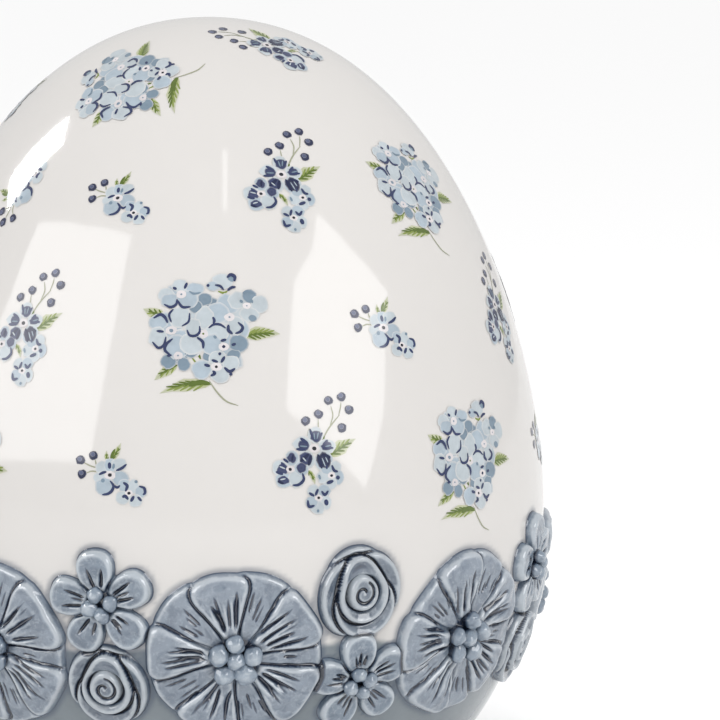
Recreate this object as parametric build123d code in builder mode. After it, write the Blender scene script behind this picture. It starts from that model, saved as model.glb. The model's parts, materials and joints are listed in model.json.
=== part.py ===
"""A hollow decorated egg in glazed earthenware, with a garland of sprigged flowers.

The shell is slip-cast: a thin wall, a flat foot with a shallow recess, and the hole
that the casting slip was poured out of.  Round its lower third the potter sticks
flowers pressed in small moulds: eight large blossoms, and between each two of them
a small five-petalled flower and a rose, one over the other.  Each flower is its own
piece, hollowed on its back to the curve of the shell, and each has its own beads
or bud.

The origin is the middle of the foot, +Z is up and -Y is the front.  Angles round
the egg are counted from the front towards +X, in degrees.  Lengths are in mm.
"""

import os
from math import radians, sin

from build123d import *

os.makedirs("parts", exist_ok=True)

# ---- Shell -------------------------------------------------------------------
body_radius = 70.0        # at the widest level
crown_height = 100.0      # widest level up to the crown
foot_depth = 66.0         # widest level down to the foot
foot_radius = 33.0
wall = 4.5
floor_thickness = 8.0     # foot plane up to the floor of the hollow
foot_ring_width = 6.0     # the ring that the egg stands on
recess_depth = 2.5
vent_diameter = 16.0      # pouring hole in the floor
foot_edge_radius = 1.5

# How full the outline is: 0 would be a cone, 1 a box.
side_fullness = 0.28      # straight rise of the side, as a share of crown_height
crown_fullness = 0.73     # flat run of the crown, as a share of body_radius
flank_fullness = 0.43     # straight drop of the side, as a share of foot_depth
belly_width = 0.80        # where the belly turns in, as shares of body_radius
belly_depth = 0.83        # and of foot_depth

# ---- Garland -----------------------------------------------------------------
# The blossoms are set by eye, so their spacing is a little uneven.
blossom_angles = (4.3, 47.5, 93.0, 139.0, 184.5, 230.0, 276.0, 321.5)
blossom_level = 45.7      # middle of a blossom above the foot
upper_level = 56.0        # middle of the upper flower of a pair
lower_level = 39.6        # middle of the lower one

front_relief = 3.2        # how far front petals stand out of the shell
back_relief = 2.2         # and the petals behind them
bud_relief = 4.4

# The flowers keep their share of the shell's width, so neighbours always touch.
blossom_radius = 0.2457 * body_radius
blossom_petals = 5        # in front, and as many behind them
blossom_petal_width = 1.0465 * blossom_radius
blossom_heart_radius = 5.4
blossom_turn = 104.0      # where its first front petal points, from the right
bead_radius = 2.0
bead_count = 5            # round the one in the middle
bead_gap = 0.3            # between the middle bead and the ring
bead_sink = 0.4           # share of a bead's height that is pressed into the petals

flower_radius = 0.1486 * body_radius
flower_petals = 5
flower_petal_width = 0.827 * flower_radius
flower_heart_radius = 4.6
flower_turn = 98.0
flower_bead_radius = 1.45
flower_bead_count = 4
flower_bead_gap = 0.1     # between neighbours in the ring

rose_radius = 0.1257 * body_radius
rose_petals = 5
rose_petal_width = 1.068 * rose_radius
rose_inner_radius = 6.0
rose_turn = 90.0
bud_radius = 3.0

# Cutting depth behind a flower, enough to pass the curve of the shell everywhere.
reach = 12.0

# A place on the outline is found by halving the curve, and its slope over a short step.
halvings = 40
slope_step = 0.001        # as a share of the curve


# ---- The outline of the egg --------------------------------------------------
def upper_curve(grow=0.0):
    """The four control points of the side and crown, grown outwards by `grow`."""
    radius = body_radius + grow
    rise = crown_height + grow
    return [
        (radius, foot_depth),
        (radius, foot_depth + side_fullness * rise),
        (crown_fullness * radius, foot_depth + rise),
        (0.0, foot_depth + rise),
    ]


def lower_curve(grow=0.0, foot=0.0):
    """The four control points of the flank and belly, down to the level `foot`."""
    radius = body_radius + grow
    drop = foot_depth - foot
    return [
        (radius, foot_depth),
        (radius, foot_depth - flank_fullness * drop),
        (belly_width * radius, foot_depth - belly_depth * drop),
        (foot_radius + grow, foot),
    ]


def on_curve(points, share):
    """The point at `share` (0 to 1) along a curve of four control points."""
    rest = 1.0 - share
    weights = (rest**3, 3 * rest**2 * share, 3 * rest * share**2, share**3)
    return tuple(sum(w * p[axis] for w, p in zip(weights, points)) for axis in (0, 1))


def seat_at(level):
    """The plane that touches the front of the egg at `level`, its Z pointing outwards."""
    points = lower_curve() if level < foot_depth else upper_curve()
    low, high = 0.0, 1.0
    for _ in range(halvings):
        middle = (low + high) / 2
        beyond = abs(on_curve(points, middle)[1] - foot_depth) > abs(level - foot_depth)
        low, high = (low, middle) if beyond else (middle, high)
    radius, height = on_curve(points, low)
    next_radius, next_height = on_curve(points, low + slope_step)
    run = Vector(0, next_radius - radius, next_height - height).normalized()
    outward = Vector(0, -abs(run.Z), abs(run.Y) if level > foot_depth else -abs(run.Y))
    return Plane(origin=(0, -radius, height), x_dir=(1, 0, 0), z_dir=outward)


def egg_solid(grow=0.0):
    """The solid egg, grown by `grow` on its sides, as a tool for cutting flowers."""
    with BuildPart() as egg:
        with BuildSketch(Plane.XZ):
            with BuildLine():
                Bezier(*upper_curve(grow))
                Bezier(*lower_curve(grow))
                Line((foot_radius + grow, 0), (0, 0))
                Line((0, 0), (0, foot_depth + crown_height + grow))
            make_face()
        revolve(axis=Axis.Z)
    return egg.part


# ---- Shell -------------------------------------------------------------------
inner_radius = body_radius - wall
inner_crown = crown_height - wall

with BuildPart() as egg_shell:
    add(egg_solid())
    fillet(egg_shell.edges().group_by(Axis.Z)[0], foot_edge_radius)
    with BuildSketch(Plane.XZ):
        with BuildLine():
            Bezier(
                (inner_radius, foot_depth),
                (inner_radius, foot_depth + side_fullness * inner_crown),
                (crown_fullness * inner_radius, foot_depth + inner_crown),
                (0, foot_depth + inner_crown),
            )
            Bezier(*lower_curve(-wall, floor_thickness))
            Line((foot_radius - wall, floor_thickness), (0, floor_thickness))
            Line((0, floor_thickness), (0, foot_depth + inner_crown))
        make_face()
    revolve(axis=Axis.Z, mode=Mode.SUBTRACT)
    with BuildSketch(Plane.XY):
        Circle(foot_radius - foot_ring_width)
    extrude(amount=recess_depth, mode=Mode.SUBTRACT)
    with BuildSketch(Plane.XY):
        Circle(vent_diameter / 2)
    extrude(amount=floor_thickness, mode=Mode.SUBTRACT)

# Blanks for the flowers: everything within a given height of the shell's surface.
core = egg_solid()


def blank(relief):
    """The layer of clay from the shell's surface out to `relief`."""
    with BuildPart() as layer:
        add(egg_solid(relief))
        add(core, mode=Mode.SUBTRACT)
    return layer.part


front_blank = blank(front_relief)
back_blank = blank(back_relief)
bud_blank = blank(bud_relief)


# ---- Flowers, each made at the front of the egg ---------------------------------
def petal_layer(seat, layer, radius, width, count, turn, heart):
    """A ring of `count` oval petals and the round heart that joins them."""
    petal_root = heart / 2
    with BuildPart() as petals:
        with BuildSketch(seat.offset(-reach)):
            Circle(heart)
            with PolarLocations((radius + petal_root) / 2, count, start_angle=turn):
                Ellipse((radius - petal_root) / 2, width / 2)
        extrude(amount=2 * reach)
        add(layer, mode=Mode.INTERSECT)
    return petals.part


def blossom(seat):
    """Broad front petals over back petals that show in the gaps between them."""
    size = (blossom_radius, blossom_petal_width, blossom_petals)
    half_step = 180.0 / blossom_petals
    back = petal_layer(seat, back_blank, *size, blossom_turn + half_step, blossom_heart_radius)
    front = petal_layer(seat, front_blank, *size, blossom_turn, blossom_heart_radius)
    with BuildPart() as whole:
        add(back)
        add(front)
    return whole.part


def beads(seat, carrier, radius, count, ring, middle):
    """Small balls pressed half into the heart of a flower, each its own solid."""
    with BuildPart() as balls:
        with Locations(seat.offset(front_relief + (1 - 2 * bead_sink) * radius)):
            with PolarLocations(ring, count):
                Sphere(radius)
            if middle:
                Sphere(radius)
        add(carrier, mode=Mode.SUBTRACT)
        add(core, mode=Mode.SUBTRACT)
    return balls.part


def rose(seat):
    """An outer ring of loose petals, and a higher collar round the hole for the bud."""
    size = (rose_radius, rose_petal_width, rose_petals)
    outer = petal_layer(seat, back_blank, *size, rose_turn, rose_inner_radius)
    with BuildPart() as collar:
        with BuildSketch(seat.offset(-reach)):
            Circle(rose_inner_radius)
        extrude(amount=2 * reach)
        add(front_blank, mode=Mode.INTERSECT)
    with BuildPart() as whole:
        add(outer)
        add(collar.part)
        with BuildSketch(seat.offset(-reach)):
            Circle(bud_radius)
        extrude(amount=2 * reach, mode=Mode.SUBTRACT)
    return whole.part


def bud(seat):
    """The rolled bud that fills the hole of a rose down to the shell."""
    with BuildPart() as roll:
        with BuildSketch(seat.offset(-reach)):
            Circle(bud_radius)
        extrude(amount=2 * reach)
        add(bud_blank, mode=Mode.INTERSECT)
    return roll.part


bead_ring = 2 * bead_radius + bead_gap
flower_bead_ring = (flower_bead_radius + flower_bead_gap / 2) / sin(radians(180 / flower_bead_count))

blossom_seat = seat_at(blossom_level)
blossom_form = blossom(blossom_seat)
blossom_bead_form = beads(blossom_seat, blossom_form, bead_radius, bead_count, bead_ring, True)

small_forms = {}
for name, level in (("upper", upper_level), ("lower", lower_level)):
    seat = seat_at(level)
    size = (flower_radius, flower_petal_width, flower_petals)
    form = petal_layer(seat, front_blank, *size, flower_turn, flower_heart_radius)
    ball_form = beads(seat, form, flower_bead_radius, flower_bead_count, flower_bead_ring, False)
    small_forms[name] = (form, ball_form)

rose_forms = {}
for name, level in (("upper", upper_level), ("lower", lower_level)):
    seat = seat_at(level)
    rose_forms[name] = (rose(seat), bud(seat))


# ---- The garland -------------------------------------------------------------
def placed(form, angle, cutters=()):
    """A copy of `form` turned to `angle`, trimmed where its neighbours overlap it."""
    with BuildPart() as piece:
        add(form, rotation=(0, 0, angle))
        for cutter in cutters:
            add(cutter, mode=Mode.SUBTRACT)
    return piece.part


pieces = {"egg_shell": egg_shell.part}

count = len(blossom_angles)
blossoms = [placed(blossom_form, angle) for angle in blossom_angles]
for index, angle in enumerate(blossom_angles):
    number = index + 1
    pieces[f"blossom_{number}"] = blossoms[index]
    pieces[f"blossom_beads_{number}"] = placed(blossom_bead_form, angle)

for index, angle in enumerate(blossom_angles):
    number = index + 1
    following = blossom_angles[(index + 1) % count] + (360 if index + 1 == count else 0)
    middle = (angle + following) / 2
    beside = (blossoms[index], blossoms[(index + 1) % count])
    flower_place, rose_place = ("lower", "upper") if index % 2 == 0 else ("upper", "lower")
    small, balls = small_forms[flower_place]
    rose_form, bud_form = rose_forms[rose_place]
    small_flower = placed(small, middle, beside)
    pieces[f"small_flower_{number}"] = small_flower
    pieces[f"small_flower_beads_{number}"] = placed(balls, middle)
    pieces[f"rose_{number}"] = placed(rose_form, middle, (*beside, small_flower))
    pieces[f"rose_bud_{number}"] = placed(bud_form, middle)

for name, solid in pieces.items():
    solid.label = name
    export_step(solid, f"parts/{name}.step")
    print(name, "volume", round(solid.volume / 1000, 2), "cm3")
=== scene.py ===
# %% [markdown]
# # A glazed egg with a garland of sprigged flowers
#
# The real piece is a hollow earthenware egg.  Its shell is cast in a plaster
# mould, flowers pressed in small moulds are stuck round its lower third, and
# the whole is glazed white above and blue-grey below.  Small blue bouquets are
# printed on the white.  Each of these steps is one step of this lesson.
#
# All lengths are in metres, the foot stands on z = 0 and -Y is the front.

import json
import math

import bmesh
import bpy
import numpy as np
from mathutils import Matrix, Vector

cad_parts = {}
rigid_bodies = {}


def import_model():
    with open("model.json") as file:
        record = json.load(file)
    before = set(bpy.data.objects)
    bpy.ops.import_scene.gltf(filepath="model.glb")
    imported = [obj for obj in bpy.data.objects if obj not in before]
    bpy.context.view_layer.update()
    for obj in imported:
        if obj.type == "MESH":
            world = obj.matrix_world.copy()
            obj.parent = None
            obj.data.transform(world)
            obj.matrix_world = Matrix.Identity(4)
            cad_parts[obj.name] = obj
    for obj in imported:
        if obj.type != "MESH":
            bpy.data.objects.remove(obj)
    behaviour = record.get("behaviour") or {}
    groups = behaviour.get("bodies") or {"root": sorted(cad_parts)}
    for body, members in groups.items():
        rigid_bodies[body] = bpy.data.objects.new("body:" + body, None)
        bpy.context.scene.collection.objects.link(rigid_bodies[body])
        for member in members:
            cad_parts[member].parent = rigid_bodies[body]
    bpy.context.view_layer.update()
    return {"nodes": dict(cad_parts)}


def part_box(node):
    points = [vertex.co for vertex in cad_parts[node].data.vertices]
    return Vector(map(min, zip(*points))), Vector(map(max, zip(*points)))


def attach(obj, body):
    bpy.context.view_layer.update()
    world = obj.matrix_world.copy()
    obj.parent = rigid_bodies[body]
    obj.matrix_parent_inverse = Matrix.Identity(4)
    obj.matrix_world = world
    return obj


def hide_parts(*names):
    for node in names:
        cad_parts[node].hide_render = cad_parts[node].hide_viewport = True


for leftover in list(bpy.data.objects):
    bpy.data.objects.remove(leftover)
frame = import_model()
egg_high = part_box("egg_shell")[1]
mm = 0.001
print("measured model:", len(frame["nodes"]), "pieces,", round(egg_high.z / mm, 1), "mm tall")

# %% [markdown]
# ## The outline of the egg
#
# An egg is a turned shape, so one outline describes all of it.  Two smooth
# curves that meet at the widest level give it: one up to the crown and one down
# to the foot.  Everything else is laid on this outline, so it is worked out once
# as a table of radius, height and slope.

# %% The outline as a table
body_radius = egg_high.x
height = egg_high.z
widest_level = 66 * mm
foot_radius = 33 * mm
crown_height = height - widest_level
wall = 4.5 * mm
floor_level = 8 * mm
ring_width = 6 * mm
recess = 2.5 * mm
vent_radius = 8 * mm
foot_edge = 1.5 * mm
outline_rows = 3001


def bezier(points, steps):
    """Points along a curve of four control points, as an array of (radius, height)."""
    share = np.linspace(0, 1, steps)[:, None]
    p = np.array(points, float)
    rest = 1 - share
    return rest**3 * p[0] + 3 * rest**2 * share * p[1] + 3 * rest * share**2 * p[2] + share**3 * p[3]


def side_and_crown(radius, rise, steps):
    """From the widest level up to the crown."""
    top = widest_level + rise
    up = [(radius, widest_level), (radius, widest_level + 0.28 * rise), (0.73 * radius, top), (0, top)]
    return bezier(up, steps)


def flank(radius, foot, low, steps):
    """From the level `low` up to the widest level."""
    drop = widest_level - low
    down = [(radius, widest_level), (radius, widest_level - 0.43 * drop),
            (0.80 * radius, widest_level - 0.83 * drop), (foot, low)]
    return bezier(down, steps)[::-1]


table = np.vstack([flank(body_radius, foot_radius, 0, outline_rows),
                   side_and_crown(body_radius, crown_height, outline_rows)[1:]])
slope = np.gradient(table, axis=0)
slope /= np.linalg.norm(slope, axis=1)[:, None]


def egg_radius(level):
    return np.interp(level, table[:, 1], table[:, 0])


def egg_slope(level):
    """The outward direction at a level, as its radial and upward shares."""
    return np.interp(level, table[:, 1], slope[:, 1]), np.interp(level, table[:, 1], -slope[:, 0])


print("outline:", len(table), "rows, widest", round(table[:, 0].max() / mm, 2), "mm")

# %% [markdown]
# ## Seats
#
# A flower or a print is drawn flat and then wrapped on the egg.  Its seat is the
# flat plane that touches the egg at its middle.  To wrap a point of the drawing,
# it is pushed straight in from the seat until it meets the egg.

# %% Seats, and laying flat drawings on the egg
deepest_reach = 22 * mm     # further in from a seat than any drawing has to go
halvings = 26


def seat_at(angle, level):
    """Place, right, up and outward directions at an angle from the front and a level."""
    a = math.radians(angle)
    r = float(egg_radius(level))
    flat, rise = (float(v) for v in egg_slope(level))
    place = np.array([r * math.sin(a), -r * math.cos(a), level])
    right = np.array([math.cos(a), math.sin(a), 0])
    out = np.array([flat * math.sin(a), -flat * math.cos(a), rise])
    return place, right, np.cross(out, right), out


def lay_on_egg(seat, x, y):
    """Where points x right and y up of a seat land on the egg, and which way is out there."""
    place, right, up, out = seat
    flat = place + np.outer(np.ravel(x), right) + np.outer(np.ravel(y), up)
    near, far = np.full(len(flat), -0.1 * mm), np.full(len(flat), deepest_reach)
    for _ in range(halvings):
        depth = (near + far) / 2
        q = flat - depth[:, None] * out
        outside = np.hypot(q[:, 0], q[:, 1]) > egg_radius(q[:, 2])
        outside |= q[:, 2] > height
        near, far = np.where(outside, depth, near), np.where(outside, far, depth)
    q = flat - near[:, None] * out
    turn = np.arctan2(q[:, 0], -q[:, 1])
    level_out, rise = egg_slope(q[:, 2])
    return q, np.stack([level_out * np.sin(turn), -level_out * np.cos(turn), rise], axis=1)


print("a seat at the front:", [round(float(v), 4) for v in seat_at(0, widest_level)[0]])

# %% Small helpers for meshes
def smooth_step(low, high, value):
    t = np.clip((value - low) / (high - low), 0, 1)
    return t * t * (3 - 2 * t)


def mesh_points(mesh):
    flat = np.zeros(len(mesh.vertices) * 3)
    mesh.vertices.foreach_get("co", flat)
    return flat.reshape(-1, 3)


def paint(mesh, colours, label="glaze_map"):
    """Keeps one colour a point with the mesh, for its material to read."""
    layer = mesh.attributes.new(label, "FLOAT_COLOR", "POINT")
    layer.data.foreach_set("color", np.asarray(colours, np.float32).ravel())


def make_mesh(name, points, faces, colours, label="glaze_map"):
    """A smooth mesh with one colour a point."""
    mesh = bpy.data.meshes.new(name)
    mesh.from_pydata(np.asarray(points).tolist(), [], faces)
    mesh.polygons.foreach_set("use_smooth", np.ones(len(mesh.polygons), bool))
    paint(mesh, colours, label)
    mesh.update()
    return mesh


def put_in_scene(name, mesh, material=None):
    piece = bpy.data.objects.new(name, mesh)
    bpy.context.scene.collection.objects.link(piece)
    if material is not None:
        mesh.materials.clear()
        mesh.materials.append(material)
    return piece


def settle(piece, slot, *nodes):
    """The finished piece joins the measured model in place of its plain solids."""
    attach(piece, "root")
    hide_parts(*nodes)


print("smooth step half way:", smooth_step(0, 1, 0.5))

# %% Small helpers for node trees
def feed(tree, socket, value):
    """Gives a socket its value, or links it when the value is another node's socket."""
    if isinstance(value, bpy.types.NodeSocket):
        tree.links.new(value, socket)
    else:
        socket.default_value = value


def node(tree, kind, label="", inputs=None, **settings):
    """A node; `inputs` gives what its sockets take, by their name or number."""
    made = tree.nodes.new(kind)
    made.label = label
    for key, value in settings.items():
        setattr(made, key, value)
    for key, value in (inputs or {}).items():
        feed(tree, made.inputs[key], value)
    return made


def maths(tree, operation, a, b=0.0):
    """A math node; a and b are numbers or sockets."""
    return node(tree, "ShaderNodeMath", inputs={0: a, 1: b}, operation=operation).outputs[0]


def noise(tree, vector, scale, detail=2.0, roughness=0.5, distortion=0.0):
    return node(tree, "ShaderNodeTexNoise", inputs={
        "Vector": vector, "Scale": scale, "Detail": detail, "Roughness": roughness,
        "Distortion": distortion}).outputs["Fac"]


def stretch(tree, value, low, high, to_low=0.0, to_high=1.0):
    """Spreads low to high over to_low to to_high, eased at both ends."""
    return node(tree, "ShaderNodeMapRange", inputs={
        "Value": value, "From Min": low, "From Max": high, "To Min": to_low, "To Max": to_high},
        clamp=True, interpolation_type="SMOOTHSTEP").outputs["Result"]


def mix(tree, factor, a, b, blend="MIX"):
    """A colour mix; factor, a and b are values or sockets."""
    return node(tree, "ShaderNodeMix", inputs={0: factor, 6: a, 7: b}, data_type="RGBA",
                blend_type=blend, clamp_factor=True).outputs[2]


# %% Helpers for Geometry Nodes
def new_tree(name, inputs):
    """A Geometry Nodes tree with named inputs; returns it with its input and output nodes."""
    tree = bpy.data.node_groups.new(name, "GeometryNodeTree")
    tree.interface.new_socket("Geometry", in_out="OUTPUT", socket_type="NodeSocketGeometry")
    tree.interface.new_socket("Geometry", in_out="INPUT", socket_type="NodeSocketGeometry")
    for label, kind in inputs:
        tree.interface.new_socket(label, in_out="INPUT", socket_type=kind)
    return tree, node(tree, "NodeGroupInput"), node(tree, "NodeGroupOutput")


def grow(name, start, tree, values):
    """Runs a tree on a starting mesh and returns the result as a plain mesh."""
    carrier = bpy.data.objects.new(name, start)
    bpy.context.scene.collection.objects.link(carrier)
    modifier = carrier.modifiers.new(name, "NODES")
    modifier.node_group = tree
    sockets = {s.name: s.identifier for s in tree.interface.items_tree if s.in_out == "INPUT"}
    for label, value in values.items():
        modifier[sockets[label]] = value
    graph = bpy.context.evaluated_depsgraph_get()
    mesh = bpy.data.meshes.new_from_object(
        carrier.evaluated_get(graph), preserve_all_data_layers=True, depsgraph=graph)
    mesh.name = name
    bpy.data.objects.remove(carrier)
    return mesh


def dress(tree, geometry, material, out):
    """The end of a tree: smooth shading, real geometry and its material."""
    smooth = node(tree, "GeometryNodeSetShadeSmooth", inputs={0: geometry})
    real = node(tree, "GeometryNodeRealizeInstances", inputs={0: smooth.outputs[0]})
    dressed = node(tree, "GeometryNodeSetMaterial", inputs={0: real.outputs[0], "Material": material})
    feed(tree, out.inputs[0], dressed.outputs[0])


print("node groups so far:", len(bpy.data.node_groups))

# %% [markdown]
# ## Glazes
#
# Glaze is glass.  Where it runs off an edge it is thin and pale, and where it
# gathers in a groove it is thick and dark.  The meshes carry that as a colour
# attribute, red where it pools and green where it thins, and one shader group
# turns it into a colour.  The red also paints in the shade that falls in the
# grooves, creases and hearts and at the feet of the flowers, and the green paints
# pale highlights on the rims: painted shade and painted highlight.  A second
# group gives the faint clouding of any glaze.

# %% Colours and shader groups
def linear(red, green, blue):
    """A colour given as 0 to 255 on screen, as linear light with alpha."""
    values = [v / 255 for v in (red, green, blue)]
    return [v / 12.92 if v <= 0.04045 else ((v + 0.055) / 1.055) ** 2.4 for v in values] + [1.0]


def new_group(name, inputs, outputs):
    group = bpy.data.node_groups.new(name, "ShaderNodeTree")
    for label, kind, default in inputs:
        socket = group.interface.new_socket(label, in_out="INPUT", socket_type="NodeSocket" + kind)
        socket.default_value = default
    for label, kind in outputs:
        group.interface.new_socket(label, in_out="OUTPUT", socket_type="NodeSocket" + kind)
    return group, node(group, "NodeGroupInput"), node(group, "NodeGroupOutput")


print("mid grey in linear light:", round(linear(128, 128, 128)[0], 3))

# %% The clouding group
clouding, g_in, g_out = new_group(
    "glaze_clouding",
    [("Vector", "Vector", (0, 0, 0)), ("Scale", "Float", 60.0), ("Strength", "Float", 0.1)],
    [("Factor", "Float"), ("Ripple", "Float")])
given = g_in.outputs
soft = noise(clouding, given["Vector"], given["Scale"], 3.0, 0.6)
swing = maths(clouding, "MULTIPLY", maths(clouding, "SUBTRACT", soft, 0.5), given["Strength"])
feed(clouding, g_out.inputs["Factor"], maths(clouding, "ADD", swing, 1.0))
finer = maths(clouding, "MULTIPLY", given["Scale"], 6.0)
feed(clouding, g_out.inputs["Ripple"], noise(clouding, given["Vector"], finer, 2.0, 0.5))
print("group:", clouding.name, len(clouding.nodes), "nodes")

# %% The pooling group
pooling, g_in, g_out = new_group(
    "glaze_pooling",
    [("Map", "Color", (0, 0, 0, 1)), ("Vector", "Vector", (0, 0, 0)), ("Thin", "Color", (1, 1, 1, 1)),
     ("Body", "Color", (0.4, 0.45, 0.5, 1)), ("Shade", "Color", (0.2, 0.25, 0.3, 1)),
     ("Deep", "Color", (0.03, 0.05, 0.09, 1))],
    [("Color", "Color")])
given = g_in.outputs
marks = node(pooling, "ShaderNodeSeparateColor", inputs={0: given["Map"]}).outputs
streak = noise(pooling, given["Vector"], 900.0, 5.0, 0.70, 0.5)
blotch = noise(pooling, given["Vector"], 260.0, 3.0, 0.6, 0.8)


def ragged(mark, amount):
    """A mark whose edge is broken up by the streaks."""
    uneven = maths(pooling, "MULTIPLY", maths(pooling, "SUBTRACT", streak, 0.5), amount)
    return maths(pooling, "ADD", mark, uneven)


shaded = maths(pooling, "MULTIPLY", stretch(pooling, blotch, 0.42, 0.68), 0.55)
tint = mix(pooling, shaded, given["Body"], given["Shade"])
tint = mix(pooling, stretch(pooling, streak, 0.47, 0.75, 0.0, 0.28), tint, given["Thin"])
# painted highlight: rims are paled where the glaze thins, and also where light would catch them
thinned_and_highlit = stretch(pooling, ragged(marks[1], 0.5), 0.12, 0.85, 0.0, 0.62)
tint = mix(pooling, thinned_and_highlit, tint, given["Thin"])
# painted shade: grooves and creases are darkened where glaze gathers, and also where shade falls
gathered_and_shaded = ragged(marks[0], 0.22)
tint = mix(pooling, stretch(pooling, gathered_and_shaded, 0.03, 0.34, 0.0, 0.95), tint, given["Shade"])
tint = mix(pooling, stretch(pooling, gathered_and_shaded, 0.26, 0.80), tint, given["Deep"])
feed(pooling, g_out.inputs["Color"], tint)
print("group:", pooling.name, len(pooling.nodes), "nodes")


# %% Helpers for glazes
glaze_roughness = 0.07
clear_glaze_ior = 1.5
garland_glaze_ior = 1.85     # the garland's glaze is the brightest


def new_material(name, roughness, ior=clear_glaze_ior):
    material = bpy.data.materials.new(name)
    material.use_nodes = True
    tree = material.node_tree
    shader = tree.nodes["Principled BSDF"]
    shader.inputs["Roughness"].default_value = roughness
    shader.inputs["IOR"].default_value = ior
    return material, tree, shader, node(tree, "ShaderNodeTexCoord").outputs["Object"]


def clouded(tree, where, scale, strength):
    return node(tree, "ShaderNodeGroup", inputs={"Vector": where, "Scale": scale, "Strength": strength},
                node_tree=clouding).outputs


def ripple(tree, shader, height_socket, strength, distance):
    bump = node(tree, "ShaderNodeBump", inputs={
        "Strength": strength, "Distance": distance, "Height": height_socket})
    feed(tree, shader.inputs["Normal"], bump.outputs[0])


def attribute(tree, label):
    made = node(tree, "ShaderNodeAttribute", attribute_name=label, attribute_type="GEOMETRY")
    return made.outputs["Color"]


print("glaze roughness:", glaze_roughness)

# %% Glazes of the garland
def garland_glaze(name, thin, body, shade, deep, roughness=glaze_roughness):
    material, tree, shader, where = new_material(name, roughness, garland_glaze_ior)
    pooled = node(tree, "ShaderNodeGroup", inputs={
        "Map": attribute(tree, "glaze_map"), "Vector": where, "Thin": linear(*thin),
        "Body": linear(*body), "Shade": linear(*shade), "Deep": linear(*deep)}, node_tree=pooling)
    cloud = clouded(tree, where, 140.0, 0.25)
    colour = mix(tree, 1.0, pooled.outputs["Color"], cloud["Factor"], "MULTIPLY")
    feed(tree, shader.inputs["Base Color"], colour)
    ripple(tree, shader, cloud["Ripple"], 0.40, 0.15 * mm)
    return material


# each: thin on edges, with a painted highlight there, the body of a petal, its shaded
# patches, deep in the grooves, with painted shade there
blossom_glaze = garland_glaze(
    "blossom_blue_glaze", (190, 196, 202), (119, 130, 143), (70, 84, 102), (24, 34, 54))
flower_glaze = garland_glaze(
    "flower_blue_glaze", (190, 197, 203), (108, 121, 135), (60, 74, 93), (16, 25, 42))
rose_glaze = garland_glaze(
    "rose_blue_glaze", (186, 192, 197), (104, 115, 128), (56, 69, 88), (14, 22, 38))
bead_glaze = garland_glaze(
    "bead_blue_glaze", (190, 197, 203), (122, 135, 149), (76, 91, 109), (20, 30, 48), 0.06)
print("garland glazes:", [m.name for m in (blossom_glaze, flower_glaze, rose_glaze, bead_glaze)])

# %% Glaze of the shell
boundary_level = 46.5 * mm     # where white meets blue, hidden behind the garland
boundary_blur = 0.8 * mm
white_glaze = linear(206, 203, 200)
blue_glaze = linear(122, 130, 135)
blue_drift = linear(106, 115, 122)
# pooled glaze and painted shade at the feet of the flowers
blue_pool_and_shade = linear(70, 84, 104)
bare_clay = linear(222, 208, 188)
bare_roughness = 0.75

shell_glaze, tree, shader, where = new_material("egg_white_and_blue_glaze", glaze_roughness)
cloud = clouded(tree, where, 38.0, 0.035)
level = node(tree, "ShaderNodeSeparateXYZ", inputs={0: where}).outputs["Z"]
waver = maths(tree, "MULTIPLY", maths(tree, "SUBTRACT", noise(tree, where, 90.0, 3.0), 0.5), 6 * mm)
line = maths(tree, "ADD", level, waver)
below = stretch(tree, line, boundary_level - boundary_blur, boundary_level + boundary_blur, 1.0, 0.0)
drift = stretch(tree, noise(tree, where, 70.0, 4.0, 0.6, 0.6), 0.35, 0.7)
blue = mix(tree, maths(tree, "MULTIPLY", drift, 0.45), blue_glaze, blue_drift)
two_glazes = mix(tree, below, white_glaze, blue)
marks = node(tree, "ShaderNodeSeparateColor", inputs={0: attribute(tree, "glaze_map")}).outputs
# painted shade round the flowers' feet, with the glaze that pools there
pooled = mix(tree, stretch(tree, marks[0], 0.0, 1.0, 0.0, 0.62), two_glazes, blue_pool_and_shade)
glazed = mix(tree, 1.0, pooled, cloud["Factor"], "MULTIPLY")
feed(tree, shader.inputs["Base Color"], mix(tree, marks[2], glazed, bare_clay))
rough = node(tree, "ShaderNodeMapRange", inputs={
    "Value": marks[2], "To Min": glaze_roughness, "To Max": bare_roughness})
feed(tree, shader.inputs["Roughness"], rough.outputs["Result"])
ripple(tree, shader, cloud["Ripple"], 0.02, 0.1 * mm)
print("shell glaze:", len(tree.nodes), "nodes")

# %% Printing ink
printed_ink, tree, shader, where = new_material("printed_blue_ink_under_glaze", glaze_roughness)
cloud = clouded(tree, where, 420.0, 0.35)
colour = mix(tree, 1.0, attribute(tree, "ink"), cloud["Factor"], "MULTIPLY")
feed(tree, shader.inputs["Base Color"], colour)
print("ink:", printed_ink.name)

# %% [markdown]
# ## Flowers as relief
#
# A sprig mould is a shallow relief cut in plaster, so each flower is drawn here
# as a height over its flat seat, petal upon petal, the way the mould maker cuts
# it.  A petal is a distance in from its rim: the rim is rounded over, it rises to
# a low ridge just inside, and the middle is dished.  Laying a petal over another
# leaves a crease along its edge, where dark glaze gathers later and where the
# shade of the crease is painted in as well.

# %% A drawing board for reliefs
board_half = 19.6
board_step = 0.1
ticks = np.arange(-board_half, board_half + board_step / 2, board_step)
board_x, board_y = np.meshgrid(ticks, ticks)
board_r = np.hypot(board_x, board_y)
board_a = np.arctan2(board_y, board_x)


def soften(field, spread):
    """Blurs a field on the board by `spread` mm."""
    fy = np.fft.fftfreq(field.shape[0], board_step)[:, None]
    fx = np.fft.rfftfreq(field.shape[1], board_step)[None, :]
    keep = np.exp(-2 * (np.pi * spread) ** 2 * (fx**2 + fy**2))
    return np.fft.irfft2(np.fft.rfft2(field) * keep, s=field.shape)


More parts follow.
